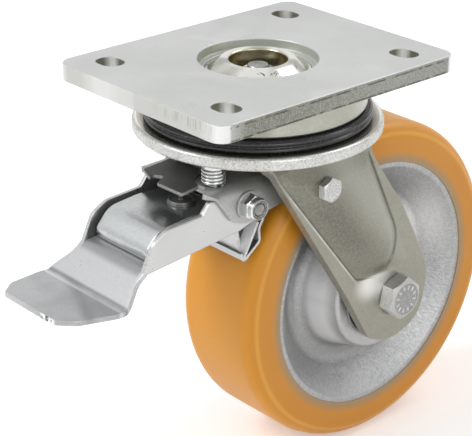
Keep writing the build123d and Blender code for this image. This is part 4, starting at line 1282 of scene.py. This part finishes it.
def axle_fasteners():
    """Axle bolt with its head on the right and its nut on the left."""
    head = hex_bolt(axle_flats, axle_head_height, fork_outer, 1, wheel_y, wheel_z, axle_head_turn)
    shank = rod(axle_radius, -fork_outer + 2, fork_outer + 1, "X", wheel_middle, 48)
    tip = fork_outer + axle_nut_height + 2
    tail = screw(axle_radius, fork_outer - 2, tip, "X", wheel_middle, 1.5, 0.6, side=-1)
    piece("axle_bolt", head + shank + tail, axle_zinc, 30)
    radius, rows = hex_face(axle_flats, axle_nut_height, bore=axle_radius + thread_gap)
    piece("axle_nut", [lathe(radius, -fork_outer - rows, "X", wheel_middle, 96)], bolt_zinc, 30)


def small_fasteners(name, seat, y, z, way, finish):
    """Bolt with a lock nut and its nylon ring. Way is the side, 1 or -1, that the nut is on."""
    middle = (0, y, z)
    head = hex_bolt(small_flats, small_head_height, seat, -way, y, z)
    shank = rod(small_radius, -seat - 1, seat + 1, "X", middle, 32)
    end = seat + nut_height - 0.4
    tail = screw(small_radius, seat, end, "X", middle, 1.0, 0.4, way)
    piece(name + "_bolt", head + shank + tail, finish, 30)
    piece(name + "_nut", lock_nut(seat, y, z, way), bolt_zinc, 30)
    start = seat + nut_height - nylon_depth
    ring = turned([
        (small_radius + thread_gap, way * start, 0),
        (nylon_radius, way * start, 0),
        (nylon_radius, way * end, 0.3),
        (small_radius + thread_gap, way * end, 0.3),
    ], 48, "X", middle)
    piece(name + "_nut_ring", ring, ring_nylon)


def fasteners():
    axle_fasteners()
    small_fasteners("cross", cross_seat, cross_y, cross_z, -1, cross_zinc)
    small_fasteners("pivot", pivot_seat, pivot_y, pivot_z, 1, nut_zinc)
    washer = turned([
        (small_radius + hole_gap, saddle_outer, 0),
        (washer_radius, saddle_outer, 0.2),
        (washer_radius, pivot_seat, 0.35),
        (small_radius + hole_gap, pivot_seat, 0.2),
    ], 64, "X", (0, pivot_y, pivot_z))
    piece("pivot_washers", both_sides(washer), saddle_zinc)


# ---- wheel ----

def mirrored(half, first=1, second=1):
    """Closed (u, v, corner) outline from its half, with u or v turned round in the other half."""
    return half + [(first * u, second * v, corner) for u, v, corner in reversed(half)]


def wheel():
    boss = hub_boss_width / 2
    bearing_seat = 15.3
    rim_side = hub_rim_width / 2
    hub = mirrored([
        (19.0, bearing_seat, 0),
        (bearing_radius, bearing_seat, 0),
        (bearing_radius, boss, 0.4),
        (29.6, boss, 2.2),
        (hub_boss_foot, 10.0, 5),
        (44.0, 9.5, 7),
        (53.5, 19.5, 12),
        (58.8, rim_side, 2.0),
        (hub_rim_radius, rim_side, 0),
    ], second=-1)
    piece("wheel_hub", turned(hub, 256, "X", wheel_middle, 10), cast_silver)
    side = wheel_width / 2
    tread = mirrored([(hub_rim_radius, side, 0.4), (wheel_radius, side, 8)], second=-1)
    piece("wheel_tread", turned(tread, 360, "X", wheel_middle, 14), tread_amber)
    cover_bore = spacer_radius + 0.35
    back = boss - cover_thickness
    dish = boss - 0.5
    for name, way in (("right", 1), ("left", -1)):
        cover = turned([
            (cover_bore, way * back, 0),
            (bearing_radius, way * back, 0),
            (bearing_radius, way * boss, 0.3),
            (bearing_radius - 3, way * boss, 0.6),
            (bearing_radius - 3.6, way * dish, 0.6),
            (spacer_radius + 1.6, way * dish, 0.4),
            (spacer_radius + 1.2, way * boss, 0.3),
            (cover_bore, way * boss, 0.1),
        ], 96, "X", wheel_middle)
        piece("dust_cover_" + name, cover, bearing_steel)


# ---- brake ----

def saddle():
    """Flat blank with a notch at the front and a cut-out at the rear, bent down into two ears."""
    place = channel(saddle_outer, saddle_top, saddle_sheet, saddle_bend)
    front = -50.5
    rear = -13
    ears_rear = cross_y + 6
    ear = rounded([
        (front, saddle_top, 0),
        (front + 0.6, saddle_top - 1.4, 1),
        (-45.5, saddle_top - 3.2, 4),
        (pivot_y - 8.0, pivot_z - 6.6, 5),
        (pivot_y - 1, pivot_z - 9.0, 7),
        (cross_y + 1, cross_z - 6.4, 5),
        (ears_rear, cross_z, 3),
        (ears_rear, saddle_top, 0),
    ], closed=False, fine=8)
    right = on_blank(place, ear)
    flat = saddle_outer - saddle_sheet - saddle_bend
    notch_half = 15.5
    notch = rounded([
        (flat, front, 1.5),
        (notch_half, front + 6, 2),
        (-notch_half, front + 6, 2),
        (-flat, front, 1.5),
    ], closed=False)
    cut_out = rounded([
        (-flat, ears_rear, 0),
        (-flat, rear, 3),
        (flat, rear, 3),
        (flat, ears_rear, 0),
    ], closed=False)
    outer = np.concatenate([right, cut_out[::-1], right[::-1] * mirror, notch[::-1]])
    hole = small_radius + hole_gap
    holes = leg_holes(place, [(pivot_y, pivot_z, hole, 24), (cross_y, cross_z, hole, 24)])
    holes.append(circle(adjuster_x, adjuster_y, hole, 24))
    half = saddle_sheet / 2
    parts = sheet(outer, holes, -half, half, place, 0.3, 0.5, 2.0)
    under = saddle_top - saddle_sheet + 0.5
    lug = rounded([
        (lock_hinge_y - knuckle_radius, under, 0),
        (lock_hinge_y - knuckle_radius, lock_hinge_z + knuckle_radius, 2.4),
        (lock_hinge_y + knuckle_radius, lock_hinge_z + knuckle_radius, 2.4),
        (lock_hinge_y + knuckle_radius, under, 0),
    ])
    pin_hole = circle(lock_hinge_y, lock_hinge_z, lock_pin_radius + thread_gap, 16)
    lug_width = 2.0
    for left in (knuckle_left - side_gap - lug_width, knuckle_right + side_gap):
        parts += sheet(lug, [pin_hole], left, left + lug_width, sideways, 0.2)
    return parts


def pedal():
    """A floor that follows an S bend out to the foot plate, and two walls."""
    half = pedal_sheet / 2
    rear = -44.0
    path = rounded([
        (rear, -67.21, 0),
        (-82.5, -71.3, 7),
        (pedal_foot_y, -83.5, 3),
        (pedal_tip_y, -81.0, 0),
    ], closed=False, fine=14)
    place = along(path)
    inner = pedal_outer - pedal_sheet + 0.6
    right = [
        (inner, rear, 0),
        (inner, -81.2, 1.5),
        (pedal_outer, -83.2, 1.5),
        (pedal_outer - 0.4, -87.5, 8),
        (pedal_foot_half, -96.5, 9),
        (pedal_foot_half, -103.0, 14),
        (24.0, -120.5, 6),
        (pedal_tip_half, pedal_tip_y, 3),
    ]
    plan = closer(rounded(mirrored(right, first=-1), fine=8), 1.5)
    length = np.interp(-plan[:, 1], -path[:, 0], place.length)
    floor = sheet(np.stack([plan[:, 0], length], 1), [], -half, half, place, 0.45, spacing=1.8)
    low = half + 0.05
    wall = rounded([
        (-85.0, -71.4 - low, 0),
        (-78.6, -59.2, 7),
        (-71.0, -55.2, 8),
        (-51.8, -54.2, 1.5),
        (-47.6, -49.2, 2.5),
        (pivot_y - 6, -49.2, 6),
        (pivot_y, pivot_z + 5.8, 5),
        (pivot_y + 5.8, pivot_z + 3, 5),
        (pivot_y + 9.5, -64.57, 4),
        (pivot_y - 2, -66.74 - low, 10),
        (-83.5, -71.4 - low, 0),
    ])
    hole = circle(pivot_y, pivot_z, sleeve_bore, 32)
    side = sheet(wall, [hole], pedal_outer - pedal_sheet, pedal_outer, sideways, 0.3, 0.9)
    return floor + both_sides(side)


def strip(path, thickness, half_width, end_corner, soft, plan_spacing, spacing):
    """Sheet across X whose middle follows a (y, z) path."""
    place = along(path)
    end = place.length[-1]
    plan = rounded([
        (half_width, 0, 0.5),
        (half_width, end, end_corner),
        (-half_width, end, end_corner),
        (-half_width, 0, 0.5),
    ])
    half = thickness / 2
    return sheet(closer(plan, plan_spacing), [], -half, half, place, soft, spacing=spacing)


def lever():
    """A strip that curls down at its nose, and two ears for the pivot."""
    half = lever_sheet / 2
    top = lever_top - half
    nose = lever_nose + half
    path = rounded([
        (-36.0, top, 0),
        (button_y - 10, top, 30),
        (nose + 6.5, top - 1.3, 9),
        (nose, -65.0, 3),
        (nose + 0.4, -69.0, 0),
    ], closed=False, fine=14)
    tongue = strip(path, lever_sheet, lever_half, 2.5, 0.5, 1.5, 1.8)
    ear = rounded([
        (-60.0, top, 0),
        (-56.0, top - 5, 3),
        (pivot_y - 2, pivot_z - 6.2, 5),
        (pivot_y + 6.2, pivot_z - 4, 5),
        (pivot_y + 6.2, pivot_z + 6.2, 5),
        (pivot_y - 4.6, pivot_z + 6.2, 4),
        (-38.0, top, 0),
    ])
    hole = circle(pivot_y, pivot_z, sleeve_bore, 32)
    side = sheet(ear, [hole], lever_half - lever_sheet, lever_half, sideways, 0.35)
    return tongue + both_sides(side)


def lock_plate():
    """Flat plate with a hooked notch, and the knuckle round its hinge pin."""
    blank = rounded([
        (knuckle_left, lock_hinge_y, 0),
        (knuckle_left, -37.05, 0),
        (-17.2, -37.05, 1),
        (-15.3, -54.0, 0.8),
        (-6.5, -57.7, 0.6),
        (-7.2, -54.6, 1.0),
        (-3.0, -52.4, 1.2),
        (1.0, -59.3, 0.8),
        (17.0, -58.9, 0.8),
        (15.4, -48.0, 1),
        (8.0, -45.0, 1),
        (knuckle_right, -38.0, 1),
        (knuckle_right, lock_hinge_y, 0),
    ])
    plate = sheet(blank, [], lock_top - lock_sheet, lock_top, upright, 0.3)
    knuckle_bore = lock_pin_radius + turning_gap
    knuckle = turned([
        (knuckle_bore, knuckle_left, 0),
        (knuckle_radius, knuckle_left, 0.2),
        (knuckle_radius, knuckle_right, 0.2),
        (knuckle_bore, knuckle_right, 0),
    ], 40, "X", (0, lock_hinge_y, lock_hinge_z))
    return plate + knuckle


def hooked(corners, thickness, half_width, soft):
    """Strip whose middle follows a (y, z, bend radius) path."""
    path = closer(rounded(corners, closed=False, fine=12), 2.5, False)
    return strip(path, thickness, half_width, 0.5, soft, 1.2, 1.6)


def brake_shoe():
    """Hook-shaped sheet: front strip, sloping underside, nose, and a lip that rises behind."""
    y, z = shoe_nose_y, shoe_nose_z
    return hooked([
        (y - 10.8, z - 2.8, 0),
        (y - 10, z - 7.5, 1.2),
        (y, z, 1.8),
        (y - 0.6, z + 6.5, 5),
        (y + 2.4, z + 11.0, 0),
    ], shoe_sheet, shoe_half, 0.3)


def shoe_plate():
    """V-shaped plate in the hook: a thick limb from the pivot and a wide strut from the fold up."""
    y, z = shoe_nose_y, shoe_nose_z
    limb = [(pivot_y - 0.6, pivot_z - 8.0, 0), (y - 8.3, z - 4.5, 0)]
    strut = [(y - 9.7, z - 6.2, 0), (y - 1, z + 9.8, 0)]
    return hooked(limb, shoe_plate_sheet, shoe_plate_half, 0.4) + hooked(strut, shoe_sheet, shoe_half, 0.3)


def push_pin():
    """Round button with a turned-down top, a ring groove and a stem."""
    bottom = lever_top
    stem_top = lock_top - lock_sheet - 0.35
    stem_radius = 1.3
    profile = rounded([
        (0, stem_top, 0),
        (stem_radius, stem_top, 0.3),
        (stem_radius, bottom + 1.4, 0.4),
        (4.6, bottom + 1.4, 0.2),
        (4.9, bottom + 1.8, 0.2),
        (5.8, bottom + 1.8, 0.4),
        (6.0, bottom + 0.9, 0.2),
        (6.4, bottom + 0.7, 0.2),
        (6.4, bottom, 0.2),
        (0, bottom, 0),
    ], closed=False)
    return [lathe(profile[:, 0], profile[:, 1], "Z", (button_x, button_y, 0), 64, wrap=False)]


def spring():
    """Round wire whose middle follows (R cos t, R sin t, rise), closed to a point at both ends."""
    wire_radius = spring_wire / 2
    low = saddle_top + wire_radius + 0.1
    high = crown_bottom - adjuster_boss_height - wire_radius - 0.1
    share = np.linspace(0, 1, 241)
    angle = 2 * np.pi * spring_turns * share
    rise = low + (high - low) * share
    middle = np.stack([spring_mean * np.cos(angle), spring_mean * np.sin(angle), rise], 1)
    ahead = np.gradient(middle, axis=0)
    ahead /= np.linalg.norm(ahead, axis=1)[:, None]
    out = np.stack([np.cos(angle), np.sin(angle), 0 * angle], 1)
    up = np.cross(out, ahead)
    up /= np.linalg.norm(up, axis=1)[:, None]
    turn = round_angles(14)[..., None]
    ring = wire_radius * (out[:, None] * np.cos(turn) + up[:, None] * np.sin(turn))
    tube = middle[:, None] + ring
    start, end = [np.broadcast_to(point, tube[:1].shape) for point in (middle[0], middle[-1])]
    return [grid(np.concatenate([start, tube, end]) + (adjuster_x, adjuster_y, 0))]


def brake():
    piece("brake_saddle", saddle(), saddle_zinc)
    piece("pedal", pedal(), pedal_zinc)
    piece("release_lever", lever(), lever_zinc)
    piece("lock_plate", lock_plate(), lock_steel)
    piece("push_pin", push_pin(), shaded_pin_steel)
    piece("brake_shoe", brake_shoe(), shoe_zinc)
    piece("shoe_plate", shoe_plate(), shoe_lit_zinc)
    piece("adjuster_spring", spring(), bolt_zinc)
    under = saddle_top - saddle_sheet
    spot = (adjuster_x, adjuster_y, 0)
    bolt = screw(small_radius, under, crown_bottom, "Z", spot, 1.0, 0.35)
    head_low = under - 1.6
    head = turned([
        (0, head_low, 0),
        (adjuster_head_radius, head_low, 0.5),
        (adjuster_head_radius, under, 0.2),
        (0, under, 0),
    ], 48, "Z", spot)
    piece("adjuster_bolt", bolt + head, bolt_zinc, 30)
    bore = small_radius + thread_gap
    boss_low = crown_bottom - adjuster_boss_height
    boss = turned([
        (bore, boss_low, 0),
        (adjuster_boss_radius, boss_low, 0.5),
        (adjuster_boss_radius, crown_bottom, 0),
        (bore, crown_bottom, 0),
    ], 64, "Z", spot)
    piece("adjuster_boss", boss, bolt_zinc)


swivel_head()
piece("fork", fork(), fork_zinc)
fasteners()
wheel()
brake()

# Nodes that no made piece replaces are shown as their solids, most of them in bearing steel.
plain = {
    # The shoe hangers take the dark lock steel as painted shade, deep in the hook.
    "shoe_hangers": lock_steel,
    "pivot_sleeve": saddle_zinc,
    "cross_spacers": saddle_zinc,
    "lock_pin": lock_steel,
}
for node, shape in frame["nodes"].items():
    if node in replaced:
        continue
    for slot in shape.material_slots:
        slot.material = plain.get(node, bearing_steel)


# ---- floor, light and camera, in metres ----

def seen_directly(tree):
    """1 for camera, glossy and transmission rays, so metal shows the same white as the camera."""
    rays = tree.nodes.new("ShaderNodeLightPath")
    share = rays.outputs["Is Camera Ray"]
    for kind in ("Is Glossy Ray", "Is Transmission Ray"):
        most = tree.nodes.new("ShaderNodeMath")
        most.operation = "MAXIMUM"
        tree.links.new(share, most.inputs[0])
        tree.links.new(rays.outputs[kind], most.inputs[1])
        share = most.outputs[0]
    return share


def floor_finish():
    """White floor that glows a little to whatever sees it directly."""
    f = Finish("floor_white")
    f.shader.inputs["Emission Color"].default_value = (1, 1, 1, 1)
    glow = Signal(f, seen_directly(f.tree)) * 0.3
    f.tree.links.new(glow.socket, f.shader.inputs["Emission Strength"])
    return f.wear(Base_Color=(0.93, 0.93, 0.93), Roughness=0.8)


def studio_floor():
    half = 4.0
    floor_z = (wheel_z - wheel_radius) / metre
    mesh = bpy.data.meshes.new("floor")
    corners = [(-half, -half, floor_z), (half, -half, floor_z), (half, half, floor_z), (-half, half, floor_z)]
    mesh.from_pydata(corners, [], [(0, 1, 2, 3)])
    mesh.materials.append(floor_finish())
    made = bpy.data.objects.new("floor", mesh)
    bpy.context.scene.collection.objects.link(made)


def studio_sky():
    """White world, weaker as a light than it looks."""
    world = bpy.data.worlds.new("studio")
    bpy.context.scene.world = world
    world.use_nodes = True
    tree = world.node_tree
    background = tree.nodes["Background"]
    level = tree.nodes.new("ShaderNodeMapRange")
    level.inputs["To Min"].default_value = 0.42
    level.inputs["To Max"].default_value = 1.0
    tree.links.new(seen_directly(tree), level.inputs["Value"])
    tree.links.new(level.outputs["Result"], background.inputs["Strength"])
    background.inputs["Color"].default_value = (1, 1, 1, 1)


def studio_lamps():
    aim = Vector((0, 0, -0.08))
    discs = [
        ("key", (-0.75, -1.5, 1.5), 1.2, 24.0),
        ("fill", (1.6, -0.5, 0.8), 1.0, 7.0),
        ("back", (0.2, 1.5, 1.6), 1.2, 12.0),
    ]
    for name, spot, width, power in discs:
        lamp = bpy.data.lights.new(name, "AREA")
        lamp.shape = "DISK"
        lamp.size = width
        lamp.energy = power
        holder = bpy.data.objects.new(name, lamp)
        holder.location = spot
        holder.rotation_euler = (aim - Vector(spot)).to_track_quat("-Z", "Y").to_euler()
        bpy.context.scene.collection.objects.link(holder)


def camera():
    eye = bpy.data.cameras.new("camera")
    eye.lens = 128.79
    eye.sensor_width = 36
    eye.sensor_fit = "HORIZONTAL"
    eye.clip_start = 0.05
    eye.clip_end = 20
    holder = bpy.data.objects.new("camera", eye)
    holder.location = (0.5256, -0.4774, 0.2401)
    holder.rotation_euler = (math.radians(90 - 24.13), 0, math.radians(48.54))
    bpy.context.scene.collection.objects.link(holder)
    bpy.context.scene.camera = holder


studio_floor()
studio_sky()
studio_lamps()
camera()
bpy.context.scene.view_settings.view_transform = "Standard"
